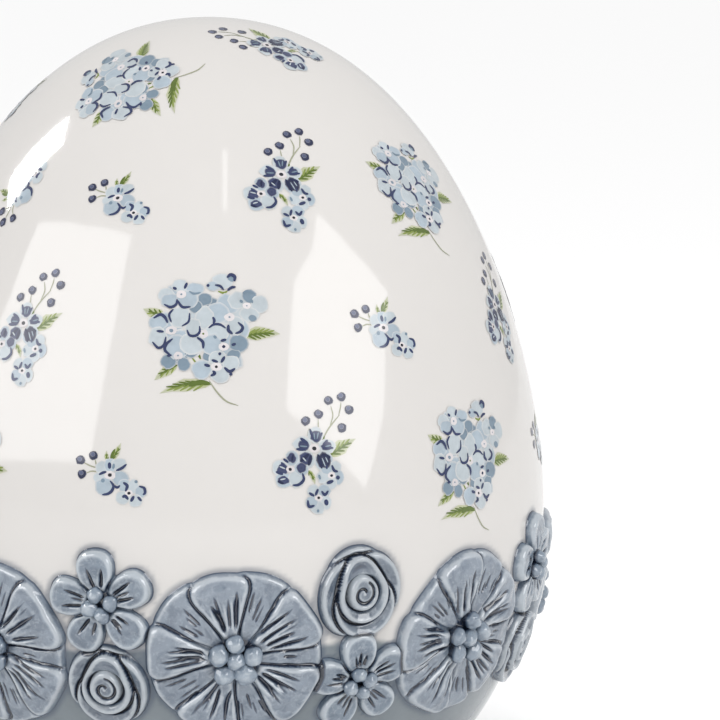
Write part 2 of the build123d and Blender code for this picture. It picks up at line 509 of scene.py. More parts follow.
def read_board(field, x, y):
    """The field's value between its ticks."""
    u = np.clip((x + board_half) / board_step, 0, len(ticks) - 1.001)
    v = np.clip((y + board_half) / board_step, 0, len(ticks) - 1.001)
    i, j = u.astype(int), v.astype(int)
    u, v = u - i, v - j
    top = field[j, i] * (1 - u) + field[j, i + 1] * u
    low = field[j + 1, i] * (1 - u) + field[j + 1, i + 1] * u
    return top * (1 - v) + low * v


print("drawing board:", len(ticks), "by", len(ticks), "points,", board_step, "mm apart")

# %% What a relief is
far_off = -9.0     # how far outside every petal an empty place counts, in mm


class Relief:
    """A height over the board, and how far inside the flower each point is, in mm."""

    def __init__(self):
        self.height = np.zeros_like(board_x)
        self.inside = np.full_like(board_x, far_off)

    def lay(self, inside, floor, rim, rim_in=1.0, rim_width=1.3, rounding=0.8, crease=0.35):
        """Lays one petal on what is there already."""
        under = np.maximum(self.height - crease * np.exp(-(np.minimum(inside, 0) / 0.32) ** 2), 0)
        ridge = np.where(inside < rim_in, 1.0, np.exp(-((inside - rim_in) / rim_width) ** 2))
        top = floor + rim * ridge
        rise = np.sqrt(np.clip(1 - (1 - np.clip(inside / rounding, 0, 1)) ** 2, 0, 1))
        self.height = np.where(inside > 0, under + (top - under) * rise, under)
        self.inside = np.maximum(self.inside, inside)

    def groove(self, start, end, width, depth, bend=0.0):
        """Presses a tapered groove from start to end."""
        (x0, y0), (x1, y1) = start, end
        length = math.hypot(x1 - x0, y1 - y0)
        ux, uy = (x1 - x0) / length, (y1 - y0) / length
        along = ((board_x - x0) * ux + (board_y - y0) * uy) / length
        across = -(board_x - x0) * uy + (board_y - y0) * ux
        across = across - bend * 4 * along * (1 - along)
        taper = smooth_step(-0.04, 0.18, along) * smooth_step(1.04, 0.45, along)
        local = width * (0.45 + 0.55 * taper)
        self.height = self.height - depth * taper * np.exp(-(np.abs(across) / local) ** 2.4)

    def finish(self, gloss=0.10):
        """Softens the relief as glaze does, and works out where glaze gathers and thins; the hollows
        also get painted shade and the crests a painted highlight.
        """
        self.height = soften(self.height, gloss)
        fine = self.height - soften(self.height, 0.42)
        wide = self.height - soften(self.height, 1.3)
        away = smooth_step(0.0, 0.7, self.inside)
        # painted shade in the hollows, with the glaze that gathers there
        self.pool = np.clip(-fine * 6.0 - wide * 1.5 - 0.02, 0, 1) * away
        # painted highlight on the crests, where the glaze also thins
        self.edge = np.clip(fine * 3.0 + wide * 0.5 - 0.05, 0, 1)


print("marks of a relief: height, inside, pool and edge")

# %% Shapes of petals
def soft_min(a, b, width):
    """The smaller of two fields, with the corner between them rounded."""
    blend = np.clip(0.5 + 0.5 * (b - a) / width, 0, 1)
    return b * (1 - blend) + a * blend - width * blend * (1 - blend)


def wedge_petal(azimuth, half_angle, reach_out, waves, phase):
    """Distance in from the rim of a petal with straight sides that spread from the heart."""
    off = np.angle(np.exp(1j * (board_a - azimuth)))
    spread = half_angle * (0.80 + 0.24 * smooth_step(3, 14, board_r))
    side = board_r * np.sin(np.clip(spread - np.abs(off), -1.2, 1.2))
    tip = reach_out * (1 + waves * np.sin(3.1 * off / half_angle + phase)) - board_r
    return soft_min(side, tip, 3.0)


def oval_petal(azimuth, middle, half_length, half_width, taper, power=2.2):
    """Distance in from the rim of an oval petal, narrower at its root."""
    c, s = math.cos(azimuth), math.sin(azimuth)
    u = ((board_x - middle * c) * c + (board_y - middle * s) * s) / half_length
    v = (-board_x * s + board_y * c) / half_width
    v = v / (1 - taper * 0.5 * (1 - np.clip(u, -1, 1)))
    reach = (np.abs(u) ** power + np.abs(v) ** power) ** (1 / power)
    return (1 - reach) * min(half_length, half_width)


def round_petal(x, y, radius, squash=1.0, point=0.0, point_at=0.0):
    """Distance in from the rim of a round petal, drawn out to a point if asked."""
    dx, dy = board_x - x, (board_y - y) / squash
    around = np.arctan2(dy, dx)
    drawn = radius * (1 + point * np.clip(np.cos(around - point_at), 0, 1) ** 5)
    return drawn - np.hypot(dx, dy)


def clay_unevenness(rng, amount, spread, scale):
    """The faint lumps that fingers leave, as a height."""
    return amount * (soften(rng.normal(0, 1, board_x.shape), spread) * scale)


def spoke(angle, inner, outer, lean=0.0):
    """A line from near the heart outwards; `lean` turns its inner end."""
    return ((inner * math.cos(angle + lean), inner * math.sin(angle + lean)),
            (outer * math.cos(angle), outer * math.sin(angle)))


print("a wedge petal reaches", round(float(wedge_petal(0, 0.4, 17, 0, 0).max()), 1),
      "mm in from its rim")


# %% [markdown]
# ## Blossoms
#
# Each blossom has five broad front petals over five that show between them, all
# scored with grooves that fan out from the heart.  The scoring and the overlap
# were done by hand in the mould, so each blossom draws its own small
# differences from a fixed seed.

# %% The relief of a blossom
blossom_reach = 17.1
blossom_turn = math.radians(104)
fifth = 2 * math.pi / 5


def blossom_relief(seed):
    rng = np.random.default_rng(seed)
    relief = Relief()
    fall = 0.35 * smooth_step(13.0, 17.5, board_r)
    back_floor = 0.75 + 0.42 * smooth_step(4, 15, board_r) - fall
    front_floor = 1.25 + 0.60 * smooth_step(5, 15, board_r) - fall
    for k in rng.permutation(5):
        azimuth = blossom_turn + (k + 0.5) * fifth + rng.normal(0, 0.03)
        reach = blossom_reach - 0.3 + rng.normal(0, 0.25)
        petal = wedge_petal(azimuth, 0.40, reach, 0.012, rng.uniform(0, 6))
        relief.lay(petal, back_floor + 0.25 * smooth_step(0, 3.5, petal), 0.30, 0.8, 1.0, 0.8, 0.45)
        for off in np.linspace(-0.22, 0.22, 5):
            a = azimuth + off + rng.normal(0, 0.03)
            inner, outer = rng.uniform(7.5, 10.0), rng.uniform(12.0, 15.4)
            relief.groove(*spoke(a, inner, outer), rng.uniform(0.16, 0.30), rng.uniform(0.20, 0.60))
    for k in rng.permutation(5):
        azimuth = blossom_turn + k * fifth + rng.normal(0, 0.035)
        half_angle = 0.405 + rng.normal(0, 0.02)
        petal = wedge_petal(azimuth, half_angle, blossom_reach + rng.normal(0, 0.2), 0.014,
                            rng.uniform(0, 6))
        floor = front_floor + rng.normal(0, 0.05) + 0.45 * smooth_step(0, 3.4, petal)
        relief.lay(petal, floor, 0.34, 0.7, 1.0, 0.85, 0.8)
        for off in np.linspace(-0.72, 0.72, 9):
            a = azimuth + half_angle * off + rng.normal(0, 0.02)
            inner, outer = rng.uniform(6.0, 9.5), rng.uniform(12.5, 15.8)
            relief.groove(*spoke(a, inner, outer), rng.uniform(0.16, 0.28), rng.uniform(0.10, 0.38))
        count = int(rng.integers(3, 6))
        for off in np.linspace(-0.56, 0.56, count):
            a = azimuth + half_angle * off + rng.normal(0, 0.018)
            lean = rng.normal(0, 0.05)
            inner, outer = rng.uniform(5.0, 6.4), rng.uniform(12.4, 15.6)
            relief.groove(*spoke(a, inner, outer, lean), rng.uniform(0.30, 0.46), rng.uniform(0.7, 1.2),
                          rng.normal(0, 0.22))
    heart = smooth_step(5.3, 3.9, board_r)
    relief.height = relief.height * (1 - heart) + 1.0 * heart
    relief.height += clay_unevenness(rng, 0.30, 0.9, 9)
    relief.height = np.where(relief.inside > 0, relief.height, 0)
    relief.finish()
    # painted shade in the heart round and under the pellets, with the glaze that pools there
    relief.pool = np.maximum(relief.pool, smooth_step(5.1, 4.0, board_r) * 0.75)
    return relief


print("a blossom reaches", blossom_reach, "mm")


# %% [markdown]
# ## Small flowers and roses
#
# The small flower has five separate spoon-shaped petals.  The rose is a rolled
# strip of petals seen from above: a pointed cup inside loose outer petals, with
# a bud in the middle that is a piece of its own.

# %% The relief of a small flower
def small_flower_relief(seed):
    rng = np.random.default_rng(seed)
    relief = Relief()
    for k in rng.permutation(5):
        azimuth = math.radians(98) + k * fifth + rng.normal(0, 0.03)
        middle, half_width = 6.2 + rng.normal(0, 0.1), 4.35 + rng.normal(0, 0.12)
        petal = oval_petal(azimuth, middle, 4.4, half_width, 0.30)
        floor = 1.0 + 0.45 * smooth_step(2, 9, board_r) + rng.normal(0, 0.05)
        relief.lay(petal, floor + 0.5 * smooth_step(0, 3.2, petal), 0.42, 0.8, 1.1, 0.9, 0.8)
        for off in (-0.22, 0.20, 0.0)[: int(rng.integers(2, 4))]:
            a = azimuth + off + rng.normal(0, 0.03)
            inner, outer = rng.uniform(3.0, 3.5), rng.uniform(6.4, 8.6)
            relief.groove(*spoke(a, inner, outer), rng.uniform(0.24, 0.38), rng.uniform(0.45, 0.95))
    disc = 3.0 - board_r
    relief.inside = np.maximum(relief.inside, disc)
    heart = smooth_step(3.3, 2.2, board_r)
    relief.height = relief.height * (1 - heart) + 1.0 * heart
    relief.height += clay_unevenness(rng, 0.22, 0.8, 8)
    relief.height = np.where(relief.inside > 0, relief.height, 0)
    relief.finish()
    # painted shade in the heart round and under the pellets, with the glaze that pools there
    relief.pool = np.maximum(relief.pool, smooth_step(3.0, 2.3, board_r) * 0.75)
    return relief


print("a small flower: five petals, and a disc for its pellets")

# %% The relief of a rose
def rose_relief(seed, lean, size):
    """`lean` turns the rose on its seat, in radians; `size` scales it."""
    rng = np.random.default_rng(seed)
    relief = Relief()
    c, s = math.cos(lean), math.sin(lean)

    def turned(x, y):
        return x * c - y * s, x * s + y * c

    layers = (
        ((0.1, 2.3), 6.2, 1.0, 0.0, 1.0, 0.5),
        ((-1.9, -0.2), 6.0, 1.25, 0.0, 1.15, 0.65),
        ((1.9, -0.5), 6.1, 1.22, 0.0, 1.25, 0.65),
        ((0.2, -2.7), 6.1, 0.98, 0.0, 1.35, 0.65),
        ((0.15, -0.3), 5.0, 1.08, 0.42, 1.95, 0.85),
    )
    for (x, y), radius, squash, point, floor, rim in layers:
        place = turned(size * x + rng.normal(0, 0.12), size * y + rng.normal(0, 0.12))
        petal = round_petal(*place, size * radius, squash, point, math.pi / 2 + lean)
        relief.lay(petal, floor, rim, 0.55, 1.0, 0.6, 1.15)
    well = smooth_step(4.0, 3.3, board_r)
    relief.height = relief.height * (1 - well) + 1.1 * well
    relief.height += clay_unevenness(rng, 0.22, 0.8, 8)
    relief.height = np.where(relief.inside > 0, relief.height, 0)
    relief.finish(0.09)
    return relief


print("a rose: four loose petals round a pointed cup")

# %% The relief of a bud
bud_roll = 6.6       # how far round the roll curls, in radians


def bud_relief(seed, lean):
    """The rolled bud: a low dome with the end of the roll curling round a bead."""
    rng = np.random.default_rng(seed)
    relief = Relief()
    relief.lay(round_petal(0, 0, 3.3, 1.08, 0.14, math.pi / 2 + lean), 2.6, 0.35, 0.7, 1.0, 0.8, 0.0)
    start = lean + 1.2 + rng.uniform(-0.4, 0.4)
    for share in np.linspace(0, 1, 70):
        angle = start - share * bud_roll
        radius = 2.45 - 1.85 * share + 0.18 * math.sin(5 * share + seed)
        x, y = radius * math.cos(angle), 1.06 * radius * math.sin(angle)
        width = 0.26 + 0.16 * math.sin(math.pi * share)
        spot = np.exp(-(((board_x - x) ** 2 + (board_y - y) ** 2) / width**2) ** 1.4)
        relief.height = np.minimum(relief.height, 3.1 - 1.1 * spot)
    relief.height += 0.25 * smooth_step(0.5, 0.1, board_r)
    relief.height = np.where(relief.inside > 0, relief.height, 0)
    relief.finish(0.08)
    return relief


print("a bud: a roll that curls", round(bud_roll / (2 * math.pi), 2), "times round")


# %% [markdown]
# ## From relief to a closed piece
#
# A flower's mesh is a web: spokes from the heart, and rings that follow the
# flower's own outline, so the rim is crisp.  The web is lifted to the relief and
# laid on the egg.  A last ring dips into the shell as the glaze does, and a back
# closes the piece.

# %% Where the flowers sit, and how they meet the egg
blossom_angles = (4.3, 47.5, 93.0, 139.0, 184.5, 230.0, 276.0, 321.5)
blossom_level = 45.7 * mm
upper_level = 56.0 * mm
lower_level = 39.6 * mm
skirt = 0.55         # how far the glaze runs out past a petal's foot, in mm
lip = 0.34           # how high it stands there
tucked = 0.3         # how deep a petal that lies under another is pressed in
back_depth = 0.45
print("blossoms at", blossom_angles, "degrees")

# %% Outlines of the flowers


def outline_of(relief, spokes):
    """How far the flower reaches along each spoke."""
    around = np.linspace(0, 2 * np.pi, spokes, endpoint=False)
    out = np.arange(0, board_half, 0.05)
    inside = read_board(relief.inside, np.outer(np.cos(around), out), np.outer(np.sin(around), out)) > 0
    reach = out[inside.shape[1] - 1 - np.argmax(inside[:, ::-1], axis=1)]
    kernel = np.array([1, 4, 6, 4, 1]) / 16
    wrapped = np.concatenate([reach[-2:], reach, reach[:2]])
    return around, np.convolve(wrapped, kernel, "valid")


def reach_towards(outline, angle):
    around, reach = outline
    return np.interp(np.mod(angle, 2 * np.pi), np.append(around, 2 * np.pi),
                     np.append(reach, reach[0]))


def covered_by(places, others):
    """How far points on the egg are inside the outlines of the flowers in front, in mm."""
    best = np.full(len(places), far_off)
    for seat, outline in others:
        place, right, up, out = seat
        x, y = (places - place) @ right / mm, (places - place) @ up / mm
        near = np.abs((places - place) @ out) < 12 * mm
        inside = reach_towards(outline, np.arctan2(y, x)) - np.hypot(x, y)
        best = np.where(near, np.maximum(best, inside), best)
    return best


print("outlines run along spokes, in mm from the heart")

# %% From relief to mesh
def relief_piece(name, seat, relief, outline, rings, in_front=()):
    around, reach = outline
    spokes = len(around)
    share = np.linspace(0, 1, rings + 1)[1:, None]
    edge = (reach + skirt)[None, :]
    radius = share * edge
    x = np.append(0.0, (radius * np.cos(around)).ravel())
    y = np.append(0.0, (radius * np.sin(around)).ravel())
    beyond = np.append(far_off, (radius - reach[None, :]).ravel())
    rise = read_board(relief.height, x, y)
    # pooled glaze with painted shade, and thinned glaze with a painted highlight
    pool, thin = read_board(relief.pool, x, y), read_board(relief.edge, x, y)
    fillet = lip * np.exp(-np.maximum(beyond, 0) / 0.22) - 0.12 * np.clip(beyond / skirt, 0, 1)
    rise = np.where(beyond > 0, fillet, np.maximum(rise, lip))
    places, normals = lay_on_egg(seat, x * mm, y * mm)
    if in_front:
        cover = covered_by(places, in_front)
        hidden = smooth_step(0.15, 0.75, cover)
        rise = rise * (1 - hidden) - tucked * hidden
        # painted shade where a petal runs under the flower in front, with the glaze that gathers there
        pool = np.maximum(pool, smooth_step(-0.75, 0.1, cover) * 0.9)
    # painted shade at the foot of each petal, with the glaze that pools round it
    pool = np.maximum(pool, smooth_step(-0.05, 0.3, beyond) * 0.55)
    points = places + normals * (rise * mm)[:, None]
    last = np.arange(spokes) + 1 + (rings - 1) * spokes
    back = places[last] - normals[last] * back_depth * mm
    middle = places[:1] - normals[:1] * 2 * back_depth * mm
    points = np.vstack([points, back, middle])
    ring = np.arange(spokes)
    following = np.roll(ring, -1)
    faces = [(0, 1 + int(a), 1 + int(b)) for a, b in zip(ring, following)]
    for r in range(rings):
        low, high = 1 + r * spokes, 1 + (r + 1) * spokes
        faces += np.stack([low + ring, high + ring, high + following, low + following], 1).tolist()
    tail = 1 + (rings + 1) * spokes
    faces += [(tail, 1 + rings * spokes + int(b), 1 + rings * spokes + int(a)) for a,
              b in zip(ring, following)]
    colours = np.zeros((len(points), 4))
    colours[:, 0] = np.append(pool, np.full(spokes + 1, 0.5))
    colours[:, 1] = np.append(thin, np.zeros(spokes + 1))
    colours[:, 3] = 1
    return make_mesh(name, points, faces, colours)


print("the glaze runs out", skirt, "mm past a petal")

# %% The blossoms
blossom_seed, flower_seed, rose_seed, bud_seed = 40, 70, 90, 110
blossom_spokes, blossom_rings = 380, 68
flower_spokes, flower_rings = 260, 40
rose_spokes, rose_rings = 240, 44
bud_spokes, bud_rings = 120, 22

blossoms = []
for number, angle in enumerate(blossom_angles, 1):
    seat = seat_at(angle, blossom_level)
    relief = blossom_relief(blossom_seed + number)
    blossoms.append((seat, outline_of(relief, blossom_spokes), relief))
for number, (seat, outline, relief) in enumerate(blossoms, 1):
    mesh = relief_piece(f"blossom_petals_{number}", seat, relief, outline, blossom_rings)
    piece = put_in_scene(f"blossom_petals_{number}", mesh, blossom_glaze)
    settle(piece, "blossom_glaze", f"blossom_{number}")
print("blossoms:", len(blossoms), "of", len(mesh.polygons), "faces each")

# %% Small flowers, roses and buds
high_rose_shift, high_rose_lift, high_rose_size = -1.4, 1.7 * mm, 1.05

garland = [(seat, outline) for seat, outline, _ in blossoms]
flower_seats = []
count = len(blossom_angles)
for number in range(1, count + 1):
    here, following = blossom_angles[number - 1], blossom_angles[number % count]
    middle = (here + following + (360 if number == count else 0)) / 2
    flower_low = number % 2 == 1
    flower_seat = seat_at(middle, lower_level if flower_low else upper_level)
    high_seat = seat_at(middle + high_rose_shift, upper_level + high_rose_lift)
    rose_seat = high_seat if flower_low else seat_at(middle, lower_level)
    beside = [garland[number - 1], garland[number % count]]
    relief = small_flower_relief(flower_seed + number)
    outline = outline_of(relief, flower_spokes)
    mesh = relief_piece(f"small_flower_petals_{number}", flower_seat, relief, outline, flower_rings,
                        beside)
    settle(put_in_scene(mesh.name, mesh, flower_glaze), "flower_glaze", f"small_flower_{number}")
    garland.append((flower_seat, outline))
    flower_seats.append(flower_seat)
    lean = (-0.12, 0.25)[number % 2]
    relief = rose_relief(rose_seed + number, lean, high_rose_size if flower_low else 1.0)
    outline = outline_of(relief, rose_spokes)
    mesh = relief_piece(f"rose_petals_{number}", rose_seat, relief, outline, rose_rings,
                        beside + [garland[-1]])
    settle(put_in_scene(mesh.name, mesh, rose_glaze), "rose_glaze", f"rose_{number}")
    garland.append((rose_seat, outline))
    relief = bud_relief(bud_seed + number, lean)
    outline = outline_of(relief, bud_spokes)
    mesh = relief_piece(f"rolled_bud_{number}", rose_seat, relief, outline, bud_rings)
    settle(put_in_scene(mesh.name, mesh, rose_glaze), "rose_glaze", f"rose_bud_{number}")
print("garland:", len(garland), "flowers")

# %% [markdown]
# ## Beads
#
# The heart of a flower is a cluster of clay pellets.  They repeat, so Geometry
# Nodes set them: a ring of points and one in the middle, a ball on each, no two
# quite the same size, and a faint lumpiness from rolling between the fingers.

# %% The pellet tree: where pellets sit
beads_tree, b_in, b_out = new_tree("pellets_in_a_ring", [
    ("Pellets", "NodeSocketInt"), ("Ring Radius", "NodeSocketFloat"),
    ("Pellet Radius", "NodeSocketFloat"),
    ("Middle Pellet", "NodeSocketBool"), ("Unevenness", "NodeSocketFloat"), ("Seed", "NodeSocketInt"),
    ("Material", "NodeSocketMaterial")])
given = b_in.outputs


def random_vector(label, seed, low, high):
    return node(beads_tree, "FunctionNodeRandomValue", label, {"Seed": seed, "Min": low, "Max": high},
                data_type="FLOAT_VECTOR").outputs[0]


def moved(geometry, direction, amount):
    """Geometry pushed along a direction by an amount."""
    push = node(beads_tree, "ShaderNodeVectorMath", inputs={0: direction, "Scale": amount},
                operation="SCALE")
    return node(beads_tree, "GeometryNodeSetPosition", inputs={
        0: geometry, "Offset": push.outputs[0]}).outputs[0]


circle = node(beads_tree, "GeometryNodeMeshCircle", "ring", {
    "Vertices": given["Pellets"], "Radius": given["Ring Radius"]})
ring_points = node(beads_tree, "GeometryNodeMeshToPoints", inputs={0: circle.outputs[0]})
middle_point = node(beads_tree, "GeometryNodePoints", "middle", {"Count": given["Middle Pellet"]})
both = node(beads_tree, "GeometryNodeJoinGeometry", inputs={0: ring_points.outputs[0]})
feed(beads_tree, both.inputs[0], middle_point.outputs[0])
wander = random_vector("set by eye", given["Seed"], (-1, -1, -0.5), (1, 1, 0.5))
slack = maths(beads_tree, "MULTIPLY", given["Unevenness"], given["Pellet Radius"])
placed = moved(both.outputs[0], wander, slack)
print("pellet tree, so far:", len(beads_tree.nodes), "nodes")

# %% The pellet tree: balls, sizes and lumps
size_seed = maths(beads_tree, "ADD", given["Seed"], 7)
turn_seed = maths(beads_tree, "ADD", given["Seed"], 13)
ball = node(beads_tree, "GeometryNodeMeshIcoSphere", "pellet", {
    "Subdivisions": 4, "Radius": given["Pellet Radius"]})
set_balls = node(beads_tree, "GeometryNodeInstanceOnPoints", inputs={
    "Points": placed, "Instance": ball.outputs["Mesh"],
    "Rotation": random_vector("turns", turn_seed, (-0.4, -0.4, 0), (0.4, 0.4, 6.2)),
    "Scale": random_vector("sizes", size_seed, (0.82, 0.82, 0.85), (1.06, 1.06, 1.0))})
real = node(beads_tree, "GeometryNodeRealizeInstances", inputs={0: set_balls.outputs[0]})
lumps = node(beads_tree, "ShaderNodeTexNoise", "lumps", {
    "W": given["Seed"], "Scale": 420, "Detail": 1}, noise_dimensions="4D")
lump_size = maths(beads_tree, "MULTIPLY", maths(beads_tree, "SUBTRACT", lumps.outputs["Fac"], 0.5),
                  maths(beads_tree, "MULTIPLY", given["Pellet Radius"], 0.70))
outwards = node(beads_tree, "GeometryNodeInputNormal").outputs[0]
dress(beads_tree, moved(real.outputs[0], outwards, lump_size), given["Material"], b_out)
print("pellet tree:", len(beads_tree.nodes), "nodes")

# %% Set the beads
cluster_turn = math.radians(18)
blossom_bead_seed, flower_bead_seed = 200, 300


def set_beads(name, nodes, seat, lift, values):
    mesh = grow(name, bpy.data.meshes.new(name + "_start"), beads_tree,
                {**values, "Material": bead_glaze})
    local = mesh_points(mesh)
    place, right, up, out = seat
    c, s = math.cos(cluster_turn), math.sin(cluster_turn)
    x, y = local[:, 0] * c - local[:, 1] * s, local[:, 0] * s + local[:, 1] * c
    world = place + np.outer(x, right) + np.outer(y, up) + np.outer(local[:, 2] + lift, out)
    mesh.vertices.foreach_set("co", world.ravel())
    radius = values["Pellet Radius"]
    rise = local[:, 2] / radius
    # painted shade low on each pellet, where glaze gathers and shade falls, and a painted highlight on
    # its top, where the glaze thins
    pool, thin = smooth_step(0.45, -0.35, rise), smooth_step(0.5, 1.1, rise) * 0.6
    paint(mesh, np.stack([pool, thin, np.zeros(len(rise)), np.ones(len(rise))], 1))
    mesh.update()
    settle(put_in_scene(name, mesh, bead_glaze), "bead_glaze", *nodes)


for number, (seat, _, _) in enumerate(blossoms, 1):
    set_beads(f"blossom_pellets_{number}", [f"blossom_beads_{number}"], seat, 1.9 * mm, {
        "Pellets": 5, "Ring Radius": 3.5 * mm, "Pellet Radius": 2.15 * mm, "Middle Pellet": True,
        "Unevenness": 0.16, "Seed": blossom_bead_seed + number})
for number, seat in enumerate(flower_seats, 1):
    set_beads(f"small_flower_pellets_{number}", [f"small_flower_beads_{number}"], seat, 1.7 * mm, {
        "Pellets": 4, "Ring Radius": 2.05 * mm, "Pellet Radius": 1.68 * mm, "Middle Pellet": False,
        "Unevenness": 0.14, "Seed": flower_bead_seed + number})
print("beads set in", len(blossoms) + len(flower_seats), "flowers")

# %% [markdown]
# ## The shell
#
# The shell is cast hollow, so its outline runs up the outside, back down the
# inside, through the pouring hole and round the foot ring.  Geometry Nodes turn
# that outline on the axis, as a potter's profile turns on a wheel.  The rows are
# closer together behind the garland, where the glaze pools round the flowers and
# the shade at their feet is painted in.

# %% The section of the shell
def rows_between(curve, spacing):
    """Picks points along a curve so that they are `spacing(height)` apart."""
    length = np.concatenate([[0], np.cumsum(np.linalg.norm(np.diff(curve, axis=0), axis=1))])
    steps, at = [0.0], 0.0
    while at < length[-1]:
        at += spacing(np.interp(at, length, curve[:, 1]))
        steps.append(min(at, length[-1]))
    return np.stack([np.interp(steps, length, curve[:, k]) for k in (0, 1)], 1)


def spacing_outside(level):
    """Finer rows behind the garland."""
    return 0.85 * mm if 20 * mm < level < 74 * mm else 2.0 * mm


lower_part = flank(body_radius, foot_radius, 0, 2001)
start = int(np.argmax(lower_part[:, 1] > foot_edge * 1.2))
corner = bezier([(foot_radius - foot_edge, 0), (foot_radius - foot_edge * 0.4, 0),
                 (lower_part[start, 0] - 0.35 * foot_edge, lower_part[start, 1] * 0.45),
                 tuple(lower_part[start])], 7)
upper_part = side_and_crown(body_radius, crown_height, 2001)
outside = rows_between(np.vstack([lower_part[start:], upper_part[1:]]), spacing_outside)
inner_radius = body_radius - wall
inside = np.vstack([flank(inner_radius, foot_radius - wall, floor_level, 401),
                    side_and_crown(inner_radius, crown_height - wall, 401)[1:]])
inside = rows_between(inside, lambda level: 6 * mm)[::-1]
ring_inner = foot_radius - ring_width
tail = np.array([(vent_radius, floor_level), (vent_radius, floor_level / 2), (vent_radius, recess),
                 (ring_inner, recess), (ring_inner, 0)])
section = np.vstack([corner, outside[1:], inside, tail])
section[:, 0] = np.maximum(section[:, 0], 0)
section_mesh = bpy.data.meshes.new("shell_section")
section_points = np.stack([section[:, 0], np.zeros(len(section)), section[:, 1]], 1)
closed = np.vstack([section_points, section_points[:1]])
section_mesh.from_pydata(closed.tolist(), [(k, k + 1) for k in range(len(closed) - 1)], [])
print("section of the shell:", len(closed), "points")

# %% The turning tree
turning, t_in, t_out = new_tree("turned_section", [
    ("Steps Round", "NodeSocketInt"), ("Section Points", "NodeSocketInt"),
    ("Material", "NodeSocketMaterial")])
given = t_in.outputs
web = node(turning, "GeometryNodeMeshGrid", "web", {
    "Vertices X": maths(turning, "ADD", given["Steps Round"], 1),
    "Vertices Y": given["Section Points"]})
number_of = node(turning, "GeometryNodeInputIndex").outputs[0]
row = maths(turning, "MODULO", number_of, given["Section Points"])
rows_passed = maths(turning, "DIVIDE", maths(turning, "ADD", number_of, 0.5), given["Section Points"])
column = maths(turning, "FLOOR", rows_passed)
pick = node(turning, "GeometryNodeSampleIndex", inputs={
    "Geometry": given["Geometry"], "Value": node(turning, "GeometryNodeInputPosition").outputs[0],
    "Index": row}, data_type="FLOAT_VECTOR", domain="POINT")
angle_each = maths(turning, "DIVIDE", 2 * math.pi, given["Steps Round"])
spin = node(turning, "ShaderNodeVectorRotate", inputs={
    "Vector": pick.outputs[0], "Angle": maths(turning, "MULTIPLY", column, angle_each)},
    rotation_type="Z_AXIS")
turned = node(turning, "GeometryNodeSetPosition", inputs={
    0: web.outputs["Mesh"], "Position": spin.outputs[0]})
joined = node(turning, "GeometryNodeMergeByDistance", inputs={0: turned.outputs[0], "Distance": 1e-6})
dress(turning, joined.outputs[0], given["Material"], t_out)
print("turning tree:", len(turning.nodes), "nodes")

# %% Turn the section
steps_round = 400

shell_mesh = grow("glazed_shell", section_mesh, turning, {
    "Steps Round": steps_round, "Section Points": len(closed), "Material": shell_glaze})
# where the section runs down the axis it leaves bare edges, which go
whole = bmesh.new()
whole.from_mesh(shell_mesh)
bmesh.ops.delete(whole, geom=[edge for edge in whole.edges if not edge.link_faces], context="EDGES")
open_edges = sum(1 for edge in whole.edges if not edge.is_manifold)
whole.to_mesh(shell_mesh)
whole.free()
print("edges of the shell left open:", open_edges)


def signed_volume(mesh):
    mesh.calc_loop_triangles()
    corners = np.zeros(len(mesh.loop_triangles) * 3, int)
    mesh.loop_triangles.foreach_get("vertices", corners)
    a, b, c = mesh_points(mesh)[corners.reshape(-1, 3)].transpose(1, 0, 2)
    return float(np.einsum("ij,ij->i", a, np.cross(b, c)).sum() / 6)


if signed_volume(shell_mesh) < 0:
    shell_mesh.flip_normals()
shell_mesh.set_sharp_from_angle(angle=math.radians(40))

# %% Where the shell is bare, and where glaze pools and shade is painted on it
shell_points = mesh_points(shell_mesh)
levels = shell_points[:, 2]
radii = np.hypot(shell_points[:, 0], shell_points[:, 1])
skin = np.abs(radii - egg_radius(levels)) < 0.3 * mm
skin |= levels > height - 1.5 * mm
bare = np.where(skin & (levels > 1.2 * mm), 0.0, 1.0)
pool = np.zeros(len(shell_points))
band = skin & (levels > 18 * mm) & (levels < 78 * mm)
cover = covered_by(shell_points[band], garland)
# painted shade round the feet of the flowers, with the glaze pooled there
pool[band] = smooth_step(-2.0, 0.0, cover)
paint(shell_mesh, np.stack([pool, np.zeros(len(pool)), bare, np.ones(len(pool))], 1))
settle(put_in_scene("glazed_shell", shell_mesh, shell_glaze), "shell_glaze", "egg_shell")
print("shell:", len(shell_mesh.polygons), "faces, clay", round(signed_volume(shell_mesh) * 1e6), "cm3")

# %% [markdown]
# ## Printed sprigs
#
# The bouquets are transfers: flat prints that are slid on the glaze and fired
# into it.  Three drawings are enough for the whole egg.  They are drawn here in
# millimetres with a few brush shapes (petal, stroke, dot and leaf), each a little
# sheet of colour, and later shapes lie over earlier ones as ink does.

# %% Inks
inks = {
    "pale": (203, 213, 219), "mist": (183, 198, 210), "slate": (130, 151, 168), "dusk": (88, 97, 130),
    "navy": (56, 66, 104), "deep": (36, 44, 78), "blush": (236, 230, 232), "black": (24, 26, 40),
    "leaf": (142, 158, 80), "dark_leaf": (98, 118, 48), "light_leaf": (206, 210, 168),
    "stem": (174, 176, 152),
}
ink_depth = 0.72
inks = {name: np.array(linear(*rgb)) * ink_depth for name, rgb in inks.items()}
paper = np.array(white_glaze)
print("inks:", len(inks))

# %% Brush shapes
def curve_through(path, steps=11):
    """A smooth line through a few points."""
    p = np.array(path, float)
    p = np.vstack([2 * p[0] - p[1], p, 2 * p[-1] - p[-2]])
    line = []
    for at in np.linspace(0, len(p) - 3 - 1e-6, steps):
        a, b, c, d = p[int(at):int(at) + 4]
        u = at - int(at)
        curved = 2 * a - 5 * b + 4 * c - d + u * (3 * b - a - 3 * c + d)
        line.append(b + 0.5 * u * (c - a + u * curved))
    return np.array(line)


